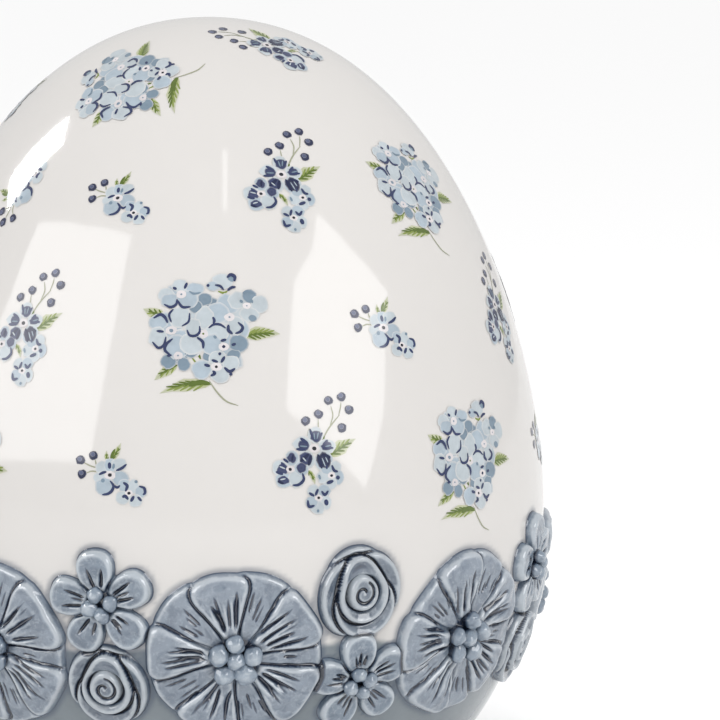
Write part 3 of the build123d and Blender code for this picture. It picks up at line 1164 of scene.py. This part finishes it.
class Drawing:
    """Brush marks on a flat sheet, in mm, x right and y up."""

    def __init__(self, seed):
        self.points, self.colours, self.faces = [], [], []
        self.rng = np.random.default_rng(seed)
        self.layer = 1.0

    def add(self, points, colours, faces):
        start = len(self.points)
        self.points += [(x, y, self.layer) for x, y in points]
        self.colours += [tuple(c) for c in colours]
        self.faces += [tuple(start + int(k) for k in face) for face in faces]
        self.layer += 0.03

    def wash(self, ink, x, y, half_width, half_height, edge=0.38, uneven=0.05, sides=14):
        """A spot of thinned ink that fades at its rim; `edge` is how much ink the rim has."""
        around = np.linspace(0, 2 * np.pi, sides, endpoint=False)
        tone = inks[ink] * (1 + self.rng.normal(0, 0.03))
        wobble = 1 + self.rng.normal(0, uneven, sides)
        points, colours = [(x, y)], [tone]
        for share, strength in ((0.42, 0.97), (0.80, 1.0), (1.0, edge)):
            reach = share * wobble
            points += list(zip(x + half_width * reach * np.cos(around),
                               y + half_height * reach * np.sin(around)))
            colours += [tone * strength + paper * (1 - strength)] * sides
        k = np.arange(sides)
        n = np.roll(k, -1)
        faces = [(0, 1 + a, 1 + b) for a, b in zip(k, n)]
        for low in (1, 1 + sides):
            faces += [(low + a, low + sides + a, low + sides + b, low + b) for a, b in zip(k, n)]
        self.add(points, colours, faces)

    def stroke(self, ink, width, path, taper=0.35):
        line = curve_through(path)
        run = np.gradient(line, axis=0)
        side = np.stack([-run[:, 1], run[:, 0]], 1) / np.linalg.norm(run, axis=1)[:, None]
        share = np.linspace(0, 1, len(line))
        half = 0.58 * width * (taper + (1 - taper) * np.sin(np.pi * share) ** 0.6)
        left, right = line + side * half[:, None], line - side * half[:, None]
        points = [tuple(p) for pair in zip(left, right) for p in pair]
        faces = [(2 * k, 2 * k + 1, 2 * k + 3, 2 * k + 2) for k in range(len(line) - 1)]
        self.add(points, [inks[ink]] * len(points), faces)

    def petals(self, *marks, edge=0.38, uneven=0.05, swell=1.22):
        for ink, x, y, half_width, half_height in marks:
            self.wash(ink, x, y, swell * half_width, swell * half_height, edge, uneven)

    def strokes(self, *marks):
        for mark in marks:
            self.stroke(*mark)

    def hearts(self, *marks):
        """Pale middles with a dot: x, y, size, dot and the ink of the dot."""
        for x, y, size, dot, ink in marks:
            self.wash("blush", x, y, size, 0.8 * size, edge=0.3)
            self.wash(ink, x, y, dot, 0.9 * dot, edge=0.8, sides=8)

    def leaf(self, base, tip, width, bend, ribs=4):
        """A pale leaf with a dark spine and slanting strokes for its teeth."""
        base, tip = np.array(base, float), np.array(tip, float)
        run = tip - base
        side = np.array([-run[1], run[0]]) / np.linalg.norm(run)
        share = np.linspace(0, 1, 9)
        spine = base + np.outer(share, run) + np.outer(bend * 4 * share * (1 - share), side)
        half = width / 2 * np.sin(np.pi * share**0.8) * (1 + self.rng.normal(0, 0.10, 9))
        half[0] = half[-1] = 0.03
        left, right = spine + np.outer(half, side), spine - np.outer(half, side)
        points = [tuple(p) for trio in zip(left, spine, right) for p in trio]
        fade = np.linspace(1.0, 0.55, 9)
        colours = []
        for k in range(9):
            for ink in ("light_leaf", "leaf", "light_leaf"):
                colours.append(inks[ink] * fade[k] + paper * (1 - fade[k]))
        faces = []
        for k in range(8):
            a = 3 * k
            faces += [(a, a + 1, a + 4, a + 3), (a + 1, a + 2, a + 5, a + 4)]
        self.add(points, colours, faces)
        self.stroke("dark_leaf", 0.16 * width + 0.12, [spine[0], spine[3], spine[6]], 0.2)
        for k in range(ribs):
            at = 0.12 + 0.62 * k / ribs
            for sign in (1, -1):
                near = base + at * run + bend * 4 * at * (1 - at) * side
                out = near + 0.24 * run + sign * side * 0.40 * width * math.sin(math.pi * min(at + 0.24,
                                                                                              1) ** 0.8)
                self.stroke("leaf" if sign > 0 else "dark_leaf", 0.10 * width + 0.08, [near, out], 0.3)

    def berries(self, radius, *places):
        for x, y in places:
            self.wash("deep", x, y, radius, radius * self.rng.uniform(0.88, 1.0), edge=0.8, uneven=0.07,
                      sides=11)
            self.wash("dusk", x - 0.15 * radius, y + 0.22 * radius, 0.52 * radius, 0.48 * radius,
                      edge=0.6, sides=9)

    def mesh(self, name, lift):
        points = np.array(self.points, float)
        points[:, :2] *= mm
        points[:, 2] *= lift
        return make_mesh(name, points, self.faces, np.array(self.colours), "ink")


print("brush marks: wash, stroke, petals, hearts, leaf and berries")

# %% The bouquet: stem, leaves and petals
ink_lift = 0.045 * mm

bouquet = Drawing(11)
bouquet.stroke("stem", 0.3, [(0.2, -10.2), (1.6, -12.3), (3.5, -14.2), (5.8, -15.0)], 0.3)
bouquet.strokes(("stem", 0.3, [(3.1, 7.0), (2.6, 5.8), (2.2, 4.8)]),
                ("leaf", 0.4, [(1.9, 7.2), (3.0, 6.9), (3.7, 7.3)]),
                ("dark_leaf", 0.55, [(1.6, 5.4), (0.3, 4.0)]),
                ("dark_leaf", 0.4, [(-1.9, -4.9), (-1.4, -6.1)]),
                ("leaf", 0.3, [(-3.0, -5.9), (-2.2, -6.9)]))
bouquet.leaf((-8.2, 2.4), (-12.4, 4.0), 2.3, 0.2, 3)
bouquet.leaf((-5.8, -7.2), (-10.2, -10.0), 2.0, -0.2, 3)
bouquet.leaf((0.6, -11.0), (-9.2, -12.6), 2.5, -0.7, 5)
bouquet.leaf((6.6, -1.6), (13.8, -0.9), 2.6, 0.4, 5)
bouquet.stroke("dark_leaf", 0.8, [(0.4, -10.8), (-1.6, -10.6), (-3.6, -11.3)], 0.3)
bouquet.petals(
    ("mist", -5.4, 6.4, 2.8, 2.0), ("mist", -7.6, 0.2, 2.4, 2.6), ("pale", -3.4, 2.6, 2.4, 2.6),
    ("mist", -4.6, -3.0, 3.4, 2.4), ("slate", 0.4, 4.0, 2.0, 1.8), ("mist", 1.4, -2.0, 3.2, 3.0),
    ("pale", 5.2, 3.4, 3.4, 2.6), ("mist", 3.4, -6.2, 2.8, 2.2), ("slate", -6.0, -5.4, 2.0, 1.4),
    ("mist", 6.0, -0.4, 1.6, 2.0), edge=0.1)
bouquet.petals(
    ("slate", -0.6, 5.6, 1.2, 1.1), ("slate", -2.4, 4.1, 1.1, 1.1), ("pale", -5.4, 8.3, 1.4, 1.1),
    ("mist", -2.5, 7.6, 1.5, 1.1), ("pale", -8.0, 6.6, 1.3, 1.1), ("mist", -7.2, 5.4, 1.6, 1.2),
    ("mist", -4.0, 5.5, 1.8, 1.5), ("mist", -9.5, 1.2, 1.6, 1.4), ("pale", -9.5, -1.7, 1.5, 1.7),
    ("pale", -5.4, 2.2, 1.8, 1.8), ("slate", -7.6, -6.5, 1.3, 1.2), ("slate", -4.6, -7.1, 1.1, 1.1),
    ("slate", -3.3, -4.8, 1.1, 0.9), ("mist", -6.0, -3.7, 2.1, 2.0), ("pale", -3.0, -3.1, 2.1, 1.8),
    ("slate", 5.8, -3.1, 1.6, 1.6), ("slate", 4.9, -5.3, 1.2, 0.9), ("slate", 0.0, -5.6, 0.9, 0.8),
    ("mist", 3.8, 4.6, 1.9, 1.7), ("pale", 5.7, 5.4, 1.6, 1.5), ("slate", 7.9, 6.3, 1.2, 1.2),
    ("pale", 9.9, 4.8, 1.4, 1.5), ("pale", 7.9, 2.7, 1.6, 1.2), ("slate", 8.5, 2.0, 0.7, 0.6),
    ("mist", 1.8, 2.9, 1.9, 1.7), ("pale", 5.3, 0.5, 1.4, 1.6), ("pale", -0.6, 1.8, 1.5, 2.0),
    ("pale", -2.8, -0.1, 1.3, 1.6), ("pale", 1.8, -0.9, 2.0, 1.5), ("mist", 0.7, -3.3, 1.8, 1.7),
    ("pale", 2.8, 9.1, 1.7, 1.4), ("slate", 4.5, 9.9, 0.7, 0.7), ("mist", 0.9, 8.2, 1.1, 0.8),
    ("pale", 1.8, -5.9, 1.4, 1.2), ("pale", 4.4, -6.9, 1.4, 1.2), ("pale", 2.3, -9.1, 1.6, 1.4),
    ("mist", -1.2, -8.2, 1.6, 1.6))
print("bouquet, so far:", len(bouquet.faces), "faces")

# %% The bouquet: hearts and dark strokes
bouquet.hearts((-5.1, 6.6, 1.0, 0.22, "slate"), (-7.0, -0.5, 1.1, 0.42, "slate"),
               (-0.9, -1.2, 1.0, 0.24, "dark_leaf"),
               (4.1, 2.1, 1.0, 0.22, "slate"), (7.4, 4.4, 0.8, 0.16, "slate"),
               (3.0, -3.7, 1.0, 0.36, "deep"),
               (-5.7, -5.4, 0.9, 0.2, "slate"), (1.6, -7.6, 1.1, 0.32, "black"))
bouquet.strokes(
    ("navy", 0.48, [(-8.4, 4.7), (-7.2, 4.1), (-6.1, 4.6), (-5.9, 5.7)]),
    ("navy", 0.48, [(-5.9, 5.5), (-4.9, 4.1), (-3.3, 4.1)]),
    ("navy", 0.48, [(-6.7, 8.0), (-6.0, 7.6)]), ("navy", 0.48, [(-4.0, 8.9), (-4.5, 7.7)]),
    ("slate", 0.37, [(-3.6, 7.2), (-2.7, 6.7), (-1.4, 6.9)]),
    ("navy", 0.41, [(-6.6, 3.7), (-7.4, 2.6), (-7.0, 1.1)]),
    ("navy", 0.37, [(-3.5, 2.9), (-3.7, 1.2), (-5.0, 0.3)]),
    ("navy", 0.55, [(-10.4, 2.0), (-9.1, 2.7), (-8.2, 2.1), (-7.7, 1.0)]),
    ("navy", 0.44, [(-9.8, -0.5), (-8.4, -0.7)]),
    ("navy", 0.48, [(-10.6, -2.6), (-9.5, -3.8), (-8.4, -3.3), (-8.0, -1.7)]),
    ("navy", 0.52, [(-6.7, -2.1), (-7.9, -3.1), (-8.2, -4.3), (-7.1, -5.3)]),
    ("navy", 0.48, [(-4.0, -0.4), (-3.5, -1.5), (-2.4, -1.6), (-1.6, -0.9), (-1.6, 0.3)]),
    ("navy", 0.48, [(0.9, 2.1), (1.2, 1.4), (1.0, 0.7)]),
    ("navy", 0.44, [(0.1, -0.1), (1.1, 0.6), (2.3, 0.6), (3.4, -0.1)]),
    ("navy", 0.52, [(-2.1, -1.9), (-1.0, -2.8), (-0.9, -4.1)]),
    ("navy", 0.59, [(3.9, 0.6), (3.9, -0.5), (4.7, -1.2)]),
    ("navy", 0.52, [(5.7, 1.1), (6.6, 0.2), (6.2, -0.7), (5.2, -1.1)]),
    ("slate", 0.48, [(1.1, -1.6), (1.6, -2.1)]), ("navy", 0.48, [(2.4, -2.6), (3.5, -2.3)]),
    ("navy", 0.48, [(4.5, -3.4), (5.3, -3.1)]),
    ("slate", 0.41, [(6.6, 6.9), (7.5, 7.3), (8.7, 6.9)]),
    ("slate", 0.48, [(6.1, 5.5), (6.6, 5.0)]), ("slate", 0.44, [(8.5, 5.0), (8.2, 5.7)]),
    ("navy", 0.63, [(3.6, 9.9), (4.3, 10.5), (5.1, 10.1), (5.0, 9.2)]),
    ("navy", 0.44, [(1.3, 8.4), (2.3, 8.2), (3.0, 7.4)]),
    ("navy", 0.48, [(3.7, 7.3), (4.4, 7.9), (5.3, 8.1)]), ("navy", 0.52, [(-0.2, 8.5), (0.2, 8.1)]),
    ("navy", 0.48, [(0.7, -6.3), (1.9, -6.7)]), ("navy", 0.52, [(3.2, -5.6), (2.5, -6.8)]),
    ("navy", 0.52, [(-0.7, -7.2), (0.4, -7.5)]),
    ("navy", 0.52, [(0.9, -8.4), (1.3, -8.9), (0.5, -9.4)]),
    ("navy", 0.55, [(3.1, -7.7), (4.1, -8.5), (5.2, -7.9)]),
    ("navy", 0.55, [(4.3, -8.7), (4.4, -9.3)]), ("navy", 0.52, [(2.0, -5.0), (2.5, -5.2)]),
    ("navy", 0.44, [(-7.8, -5.4), (-6.9, -5.3)]))
print("bouquet:", len(bouquet.faces), "faces")

# %% The branch
branch = Drawing(12)
branch.strokes(
    ("stem", 0.28, [(0.6, 2.4), (2.2, 5.2), (4.4, 7.8)]),
    ("stem", 0.24, [(2.4, 5.6), (3.0, 7.6), (2.6, 9.4)]),
    ("stem", 0.22, [(4.2, 7.6), (4.6, 9.2), (4.7, 10.2)]),
    ("stem", 0.22, [(-0.2, 3.6), (0.0, 5.2), (0.0, 6.8)]),
    ("dark_leaf", 0.4, [(0.5, 2.0), (1.3, 3.6)]), ("stem", 0.24, [(-2.2, 3.6), (-1.8, 5.0)]))
branch.leaf((2.2, -0.2), (7.8, 3.3), 2.6, 0.2, 4)
branch.leaf((-2.1, -2.9), (-0.5, -5.7), 1.1, 0.3, 2)
branch.berries(0.98, (2.1, 10.5), (4.8, 11.3), (6.4, 8.9), (4.9, 5.3), (0.1, 7.8), (-2.5, 6.4))
branch.petals(
    ("pale", -0.6, 3.8, 1.3, 1.4), ("pale", -3.3, 2.0, 1.5, 1.3), ("pale", 1.8, 1.6, 1.5, 1.2),
    ("pale", -2.4, -1.0, 1.5, 1.5), ("mist", 1.2, -1.2, 1.6, 1.6), ("mist", -5.2, -0.8, 1.1, 1.3),
    ("pale", -7.4, -2.6, 1.3, 1.3), ("mist", -6.7, -5.0, 1.4, 1.3), ("pale", -4.2, -4.7, 1.4, 1.4),
    ("mist", -3.3, -2.7, 1.2, 1.2), ("pale", 3.5, -2.4, 1.1, 1.1), ("mist", 4.2, -4.2, 1.0, 1.2),
    ("pale", 2.6, -5.4, 1.2, 1.0), ("pale", 1.1, -4.2, 1.1, 1.1), ("mist", 1.8, -2.6, 1.0, 1.0),
    ("pale", -0.8, -7.0, 1.1, 1.1), ("mist", 1.4, -6.9, 1.1, 1.1), ("pale", 1.8, -9.1, 1.0, 1.2),
    ("pale", 0.2, -10.1, 1.2, 1.1), ("mist", -1.1, -9.1, 1.1, 1.1))
branch.petals(
    ("navy", -0.5, 3.5, 1.1, 1.1), ("navy", -2.9, 1.7, 1.1, 0.9), ("navy", 1.7, 1.7, 1.1, 0.8),
    ("navy", -2.4, -0.8, 1.2, 1.2), ("deep", 1.2, -1.1, 1.4, 1.4), ("navy", -5.3, -0.7, 0.8, 1.0),
    ("navy", -7.0, -2.9, 1.0, 1.0), ("navy", -6.8, -5.0, 1.1, 0.8), ("navy", -3.3, -2.6, 1.0, 1.0),
    edge=0.75, uneven=0.10, swell=1.05)
branch.hearts((-0.8, 1.2, 1.1, 0.46, "black"), (-5.5, -2.9, 0.85, 0.36, "black"),
              (2.8, -3.9, 0.8, 0.32, "black"),
              (0.3, -8.2, 0.8, 0.32, "black"))
branch.strokes(
    ("navy", 0.44, [(-1.7, 4.9), (-1.2, 3.4)]), ("navy", 0.44, [(0.8, 4.3), (0.1, 3.1)]),
    ("navy", 0.58, [(-3.6, 3.1), (-2.1, 2.1)]), ("navy", 0.51, [(-4.4, 1.0), (-2.6, 0.9)]),
    ("navy", 0.51, [(1.9, 2.9), (1.1, 1.9)]), ("navy", 0.48, [(3.1, 1.4), (1.1, 1.4)]),
    ("deep", 0.62, [(-3.6, -1.4), (-1.9, 0.1)]), ("deep", 0.58, [(-1.9, -2.1), (-1.4, -0.1)]),
    ("deep", 0.62, [(-0.1, 0.1), (0.8, -2.6)]), ("deep", 0.68, [(2.5, -0.5), (0.8, 0.1)]),
    ("mist", 0.20, [(0.8, -0.6), (1.5, -2.2)]), ("mist", 0.18, [(1.5, -0.4), (2.0, -1.4)]),
    ("pale", 0.22, [(-3.1, -0.6), (-2.4, -1.3)]), ("slate", 0.24, [(-0.9, 4.2), (-0.7, 2.9)]),
    ("slate", 0.24, [(0.0, 4.3), (-0.3, 3.0)]), ("slate", 0.24, [(-3.7, 1.6), (-2.2, 1.5)]),
    ("slate", 0.24, [(2.6, 1.9), (1.4, 1.6)]), ("navy", 0.44, [(-6.9, -0.9), (-5.9, -1.6)]),
    ("navy", 0.48, [(-8.3, -3.4), (-6.9, -3.9)]), ("navy", 0.48, [(-7.3, -1.6), (-6.5, -2.6)]),
    ("deep", 0.44, [(-7.9, -5.2), (-6.7, -5.7)]),
    ("navy", 0.51, [(-3.1, -3.6), (-2.8, -4.8), (-3.8, -5.8), (-5.0, -5.9)]),
    ("deep", 0.34, [(-5.0, -0.1), (-5.2, -1.3)]), ("pale", 0.24, [(-7.6, -2.4), (-6.5, -2.8)]),
    ("pale", 0.24, [(-7.4, -4.9), (-6.4, -4.7)]),
    ("navy", 0.51, [(2.8, -1.9), (3.3, -2.9), (4.1, -3.1)]),
    ("navy", 0.68, [(3.8, -4.0), (4.4, -4.5)]), ("navy", 0.58, [(1.8, -5.4), (3.2, -4.9)]),
    ("slate", 0.41, [(0.2, -3.8), (0.5, -4.7)]), ("navy", 0.38, [(1.7, -1.9), (1.8, -2.7)]),
    ("navy", 0.48, [(-1.7, -7.3), (-0.6, -7.9)]), ("navy", 0.48, [(0.1, -6.5), (-0.4, -7.8)]),
    ("navy", 0.51, [(0.8, -6.9), (1.5, -7.6), (2.2, -6.8)]),
    ("navy", 0.75, [(1.7, -8.5), (2.0, -9.6)]), ("slate", 0.51, [(0.0, -10.7), (0.5, -10.7)]),
    ("navy", 0.51, [(-1.9, -8.7), (-1.6, -9.9), (-0.5, -9.7)]))
print("branch:", len(branch.faces), "faces")

# %% The spray
spray = Drawing(13)
spray.strokes(("stem", 0.24, [(-2.2, 0.4), (-4.0, 0.6), (-5.2, 0.2)]),
              ("stem", 0.24, [(-2.8, 1.2), (-4.4, 1.6), (-5.8, 2.2)]),
              ("stem", 0.24, [(-3.1, 1.4), (-3.5, 2.8)]),
              ("dark_leaf", 0.4, [(-3.2, 1.9), (-3.0, 1.2)]))
spray.leaf((-0.6, 2.6), (1.5, 6.2), 1.3, -0.2, 3)
spray.leaf((-1.0, 2.6), (-1.3, 4.6), 0.9, 0.1, 2)
spray.stroke("dark_leaf", 0.5, [(-0.4, 3.0), (-0.1, 4.0), (0.4, 5.0)], 0.2)
spray.berries(0.95, (-6.5, 2.6), (-3.9, 3.6), (-6.1, 0.0))
spray.petals(
    ("pale", -1.8, 1.3, 1.3, 1.1), ("mist", -0.3, 1.9, 1.2, 1.1), ("pale", 1.4, 2.1, 1.3, 1.0),
    ("mist", 1.6, -0.5, 1.4, 1.2), ("pale", -2.2, -0.6, 1.3, 1.0), ("mist", -1.3, -2.2, 1.7, 1.5),
    ("mist", 2.5, -1.9, 1.0, 1.0), ("pale", 4.2, -2.0, 1.0, 1.2), ("mist", 5.8, -2.9, 1.0, 1.0),
    ("pale", 4.8, -4.7, 1.1, 1.0), ("pale", 2.3, -4.2, 1.2, 1.1))
spray.hearts((-0.4, 0.0, 1.1, 0.44, "black"), (3.5, -3.3, 0.8, 0.34, "black"))
spray.strokes(
    ("navy", 0.62, [(-0.6, 2.4), (-0.5, 1.2)]), ("slate", 0.47, [(0.3, 2.2), (0.2, 1.2)]),
    ("navy", 0.49, [(0.8, 0.9), (1.9, 1.4), (2.8, 2.2)]),
    ("navy", 0.47, [(-2.6, 0.0), (-1.8, 0.4), (-1.1, 0.6)]),
    ("navy", 0.52, [(-0.3, -1.1), (0.4, -2.0), (0.1, -3.0), (-0.7, -3.6), (-1.8, -3.8)]),
    ("navy", 0.43, [(0.2, -1.8), (1.1, -2.3), (1.7, -1.9)]),
    ("slate", 0.65, [(-2.1, -1.0), (-1.4, -1.2)]),
    ("navy", 0.56, [(2.3, -1.3), (3.1, -1.9), (2.8, -3.0)]),
    ("navy", 0.49, [(5.4, -1.9), (6.4, -2.2), (6.6, -3.1), (6.2, -3.5)]),
    ("navy", 0.47, [(5.2, -3.9), (6.0, -4.7)]), ("navy", 0.54, [(4.5, -3.8), (3.9, -4.9)]),
    ("navy", 0.58, [(2.2, -4.1), (2.8, -3.9), (3.4, -4.5)]),
    ("slate", 0.52, [(4.5, -1.1), (5.1, -1.0)]))

drawings = {"bouquet": bouquet, "branch": branch, "spray": spray}
print("spray:", len(spray.faces), "faces")

# %% [markdown]
# ## Scattering the sprigs
#
# The transfers repeat in rows, so Geometry Nodes copy the three drawings to a
# list of places.  Every place has its drawing, turn and size as attributes, and
# its number goes with each copy.  The copies come back flat, and each one is
# then wrapped on the egg at its own seat, so that the prints follow the curve
# without stretching.

# %% Where the sprigs are
sprig_places = [
    # drawing, angle from the front, level in mm, turn, size
    ("spray", -15.6, 80.8, 0, 1.0), ("branch", 17.8, 84.5, -4, 1.0), ("bouquet", 49.0, 81.6, -6, 1.0),
    ("spray", 79.6, 79.8, 0, 1.0), ("branch", -34.6, 107.1, 4, 1.0), ("bouquet", -0.2, 108.6, 0, 1.0),
    ("spray", 33.3, 107.5, -5, 1.02), ("branch", 69.9, 107.7, 0, 1.0),
    ("spray", -47.5, 132.6, 104, 1.0),
    ("spray", -19.9, 132.3, 2, 0.95), ("branch", 17.8, 135.8, -1, 1.0),
    ("bouquet", 54.5, 133.6, -14, 0.98),
    ("bouquet", -31.0, 154.3, 100, 1.0), ("branch", 34.9, 161.0, 68, 1.0),
    ("spray", -86.0, 150.0, -20, 1.0),
]
kinds = ("spray", "branch", "bouquet")
for k in range(8):
    sprig_places.append((kinds[(k + 1) % 3], 109 + k * 29.3, 82.0 + 2.0 * math.sin(2.3 * k), 0, 1.0))
    sprig_places.append((kinds[(k + 2) % 3], 99 + k * 29.2, 107.8 + 1.5 * math.sin(1.7 * k + 1),
                         (-6, 4, 0)[k % 3], 1.0))
for k in range(7):
    sprig_places.append((kinds[k % 3], 102 + k * 29.0, 133.5 + 1.5 * math.sin(2.1 * k),
                         (0, 168, 10)[k % 3], 0.97))
for k, kind in enumerate(("bouquet", "spray", "branch")):
    sprig_places.append((kind, 118 + k * 58.0, 154.0, (10, -30, 25)[k], 0.97))

starts = bpy.data.meshes.new("sprig_places")
starts.from_pydata([(0, 0, 0)] * len(sprig_places), [], [])
for label, values in (("drawing", [list(drawings).index(s[0]) for s in sprig_places]),
                      ("seat_number", list(range(len(sprig_places))))):
    starts.attributes.new(label, "INT", "POINT").data.foreach_set("value", values)
for label, values in (("turn", [math.radians(s[3]) for s in sprig_places]),
                      ("size", [s[4] for s in sprig_places])):
    starts.attributes.new(label, "FLOAT", "POINT").data.foreach_set("value", values)
print("sprigs:", len(sprig_places))

# %% The scattering tree
scatter, s_in, s_out = new_tree("scattered_sprigs", [
    ("Bouquet", "NodeSocketObject"), ("Branch", "NodeSocketObject"), ("Spray", "NodeSocketObject"),
    ("Material", "NodeSocketMaterial")])
given = s_in.outputs


def named(label, kind):
    return node(scatter, "GeometryNodeInputNamedAttribute", label, {"Name": label},
                data_type=kind).outputs["Attribute"]


together = node(scatter, "GeometryNodeJoinGeometry")
upright = node(scatter, "ShaderNodeCombineXYZ", inputs={"Z": named("turn", "FLOAT")})
grown = node(scatter, "ShaderNodeCombineXYZ", inputs={
    "X": named("size", "FLOAT"), "Y": named("size", "FLOAT"), "Z": 1})
for index, label in enumerate(("Bouquet", "Branch", "Spray")):
    chosen = node(scatter, "FunctionNodeCompare", label, {2: named("drawing", "INT"), 3: index},
                  data_type="INT", operation="EQUAL")
    source = node(scatter, "GeometryNodeObjectInfo", label, {"Object": given[label]})
    copies = node(scatter, "GeometryNodeInstanceOnPoints", label, {
        "Points": given["Geometry"], "Selection": chosen.outputs[0],
        "Instance": source.outputs["Geometry"],
        "Rotation": upright.outputs[0], "Scale": grown.outputs[0]})
    feed(scatter, together.inputs[0], copies.outputs[0])
dress(scatter, together.outputs[0], given["Material"], s_out)
print("scattering tree:", len(scatter.nodes), "nodes")

# %% Copy the drawings to their places, and wrap them on the egg
sheets = {name.capitalize(): put_in_scene(name + "_drawing", drawing.mesh(name + "_drawing", ink_lift))
          for name, drawing in drawings.items()}
prints = grow("printed_sprigs", starts, scatter, {**sheets, "Material": printed_ink})
for sheet in sheets.values():
    bpy.data.objects.remove(sheet)

local = mesh_points(prints)
numbers = np.zeros(len(local), int)
prints.attributes["seat_number"].data.foreach_get("value", numbers)
wrapped, out_there = np.zeros_like(local), np.zeros_like(local)
for number, (_, angle, level, _, _) in enumerate(sprig_places):
    mine = numbers == number
    places, normals = lay_on_egg(seat_at(angle, level * mm), local[mine, 0], local[mine, 1])
    wrapped[mine] = places + normals * local[mine, 2:3]
    out_there[mine] = normals
prints.vertices.foreach_set("co", wrapped.ravel())
prints.polygons.foreach_set("use_smooth", np.ones(len(prints.polygons), bool))
prints.normals_split_custom_set_from_vertices(out_there.tolist())
prints.update()
settle(put_in_scene("printed_sprigs", prints, printed_ink), "shell_glaze")
print("printed sprigs:", len(prints.polygons), "faces")

# %% [markdown]
# ## The studio
#
# A glossy white form shows every lamp as a reflection, so the lamps are chosen
# for their shapes.  One broad panel stands to the left, a tall window to the
# right and a thin strip high up, and a small lamp behind the left side gives the
# garland's left edges a glint.  They only show in the glaze.  A pale floor and a
# white surround give most of the light, and a soft key in front, which the glaze
# doesn't show, models the petals.

# %% Floor and surround
def backdrop_material():
    """White, and faintly lit from below so that it does not grey under the egg."""
    material, _, shader, _ = new_material("pale_studio_floor", 0.9)
    shader.inputs["Base Color"].default_value = (0.93, 0.93, 0.93, 1)
    shader.inputs["Specular IOR Level"].default_value = 0.0
    shader.inputs["Emission Color"].default_value = (1, 1, 1, 1)
    shader.inputs["Emission Strength"].default_value = 0.03
    return material


floor_half = 14.0
glaze_dimming = 0.35     # how much dimmer the surround is as a reflection
floor_mesh = bpy.data.meshes.new("studio_floor")
floor_corners = [(floor_half * x, floor_half * y, 0) for x, y in ((-1, -1), (1, -1), (1, 1), (-1, 1))]
floor_mesh.from_pydata(floor_corners, [], [(0, 1, 2, 3)])
floor = put_in_scene("studio_floor", floor_mesh, backdrop_material())

world = bpy.data.worlds.new("white_surround")
bpy.context.scene.world = world
world.use_nodes = True
sky = world.node_tree
surround = sky.nodes["Background"]
towards = node(sky, "ShaderNodeTexCoord").outputs["Generated"]
upwards = node(sky, "ShaderNodeSeparateXYZ", inputs={0: towards}).outputs["Z"]
overhead = stretch(sky, upwards, 0.25, 1.0, 1.04, 0.96)
in_glaze = maths(sky, "MULTIPLY", node(sky, "ShaderNodeLightPath").outputs["Is Glossy Ray"],
                 glaze_dimming)
share_left = maths(sky, "SUBTRACT", 1.0, in_glaze)
feed(sky, surround.inputs["Strength"], maths(sky, "MULTIPLY", overhead, share_left))
surround.inputs["Color"].default_value = (1, 1, 1, 1)
bpy.context.scene.view_settings.view_transform = "Standard"
bpy.context.scene.view_settings.look = "None"
print("floor", 2 * floor_half, "m wide")


# %% Soft lights
def glow_material(name, strength):
    material = bpy.data.materials.new(name)
    material.use_nodes = True
    tree = material.node_tree
    tree.nodes.clear()
    glow = node(tree, "ShaderNodeEmission", inputs={"Strength": strength})
    node(tree, "ShaderNodeOutputMaterial", inputs={0: glow.outputs[0]})
    return material


def panel(name, corners, strength):
    """A flat lit panel that only shows as a reflection; the surround gives the light."""
    mesh = bpy.data.meshes.new(name)
    mesh.from_pydata(corners, [], [tuple(range(len(corners)))])
    light = put_in_scene(name, mesh, glow_material(name + "_glow", strength))
    light.visible_camera = False
    light.visible_shadow = False
    light.visible_diffuse = False


panel("left_panel", [
    (-1.173, -0.031, 0.921), (-0.950, -0.465, 1.048), (-0.714, -0.876, 1.225),
    (-0.809, -1.060, 0.873), (-0.913, -1.156, 0.575), (-1.009, -1.209, 0.328),
    (-1.282, -0.587, 0.242), (-1.615, 0.182, 0.147), (-1.516, 0.090, 0.284), (-1.351, -0.061, 0.517),
    (-1.262, -0.088, 0.686)], 4.1)
panel("tall_window", [
    (0.867, -0.516, 1.133), (1.059, -0.415, 0.931), (1.260, -0.280, 0.757), (1.215, -0.476, 0.589),
    (1.212, -0.617, 0.421), (1.184, -0.749, 0.305), (1.155, -0.893, 0.173), (0.912, -1.077, 0.360),
    (0.648, -1.285, 0.549), (0.655, -1.112, 0.753), (0.690, -0.908, 0.947), (0.811, -0.694, 1.007)],
    4.2)
panel("high_strip", [
    (0.108, -0.472, 1.376), (0.146, -0.467, 1.374), (0.149, -0.810, 1.196), (0.111, -0.815, 1.197)],
    4.0)
panel("side_lamp", [
    (-1.128, 0.669, 0.832), (-1.238, 0.434, 0.832), (-1.015, 0.330, 1.147), (-0.905, 0.565, 1.147)],
    45.0)
key_data = bpy.data.lights.new("key", "AREA")
key_data.size, key_data.energy = 0.5, 8.5     # metres, watts
key = bpy.data.objects.new("key", key_data)
bpy.context.scene.collection.objects.link(key)
key_place = Vector((0.15, -1.15, 1.30))
key_aim = Vector((0, 0, 0.08))
key_turn = (key_aim - key_place).to_track_quat("-Z", "Y").to_matrix().to_4x4()
key.matrix_world = Matrix.Translation(key_place) @ key_turn
key.visible_camera = False
key.visible_glossy = False

# %% Camera
camera_data = bpy.data.cameras.new("camera")
camera_data.lens = 184.3
camera_data.sensor_width = 36
camera = bpy.data.objects.new("camera", camera_data)
bpy.context.scene.collection.objects.link(camera)
bpy.context.scene.camera = camera
camera.matrix_world = Matrix((
    (0.99916, -0.00064, -0.04090, 0.0),
    (-0.04052, 0.12149, -0.99176, -0.76251),
    (0.00561, 0.99259, 0.12137, 0.18816),
    (0, 0, 0, 1)))
print("camera at", [round(v, 3) for v in camera.location])
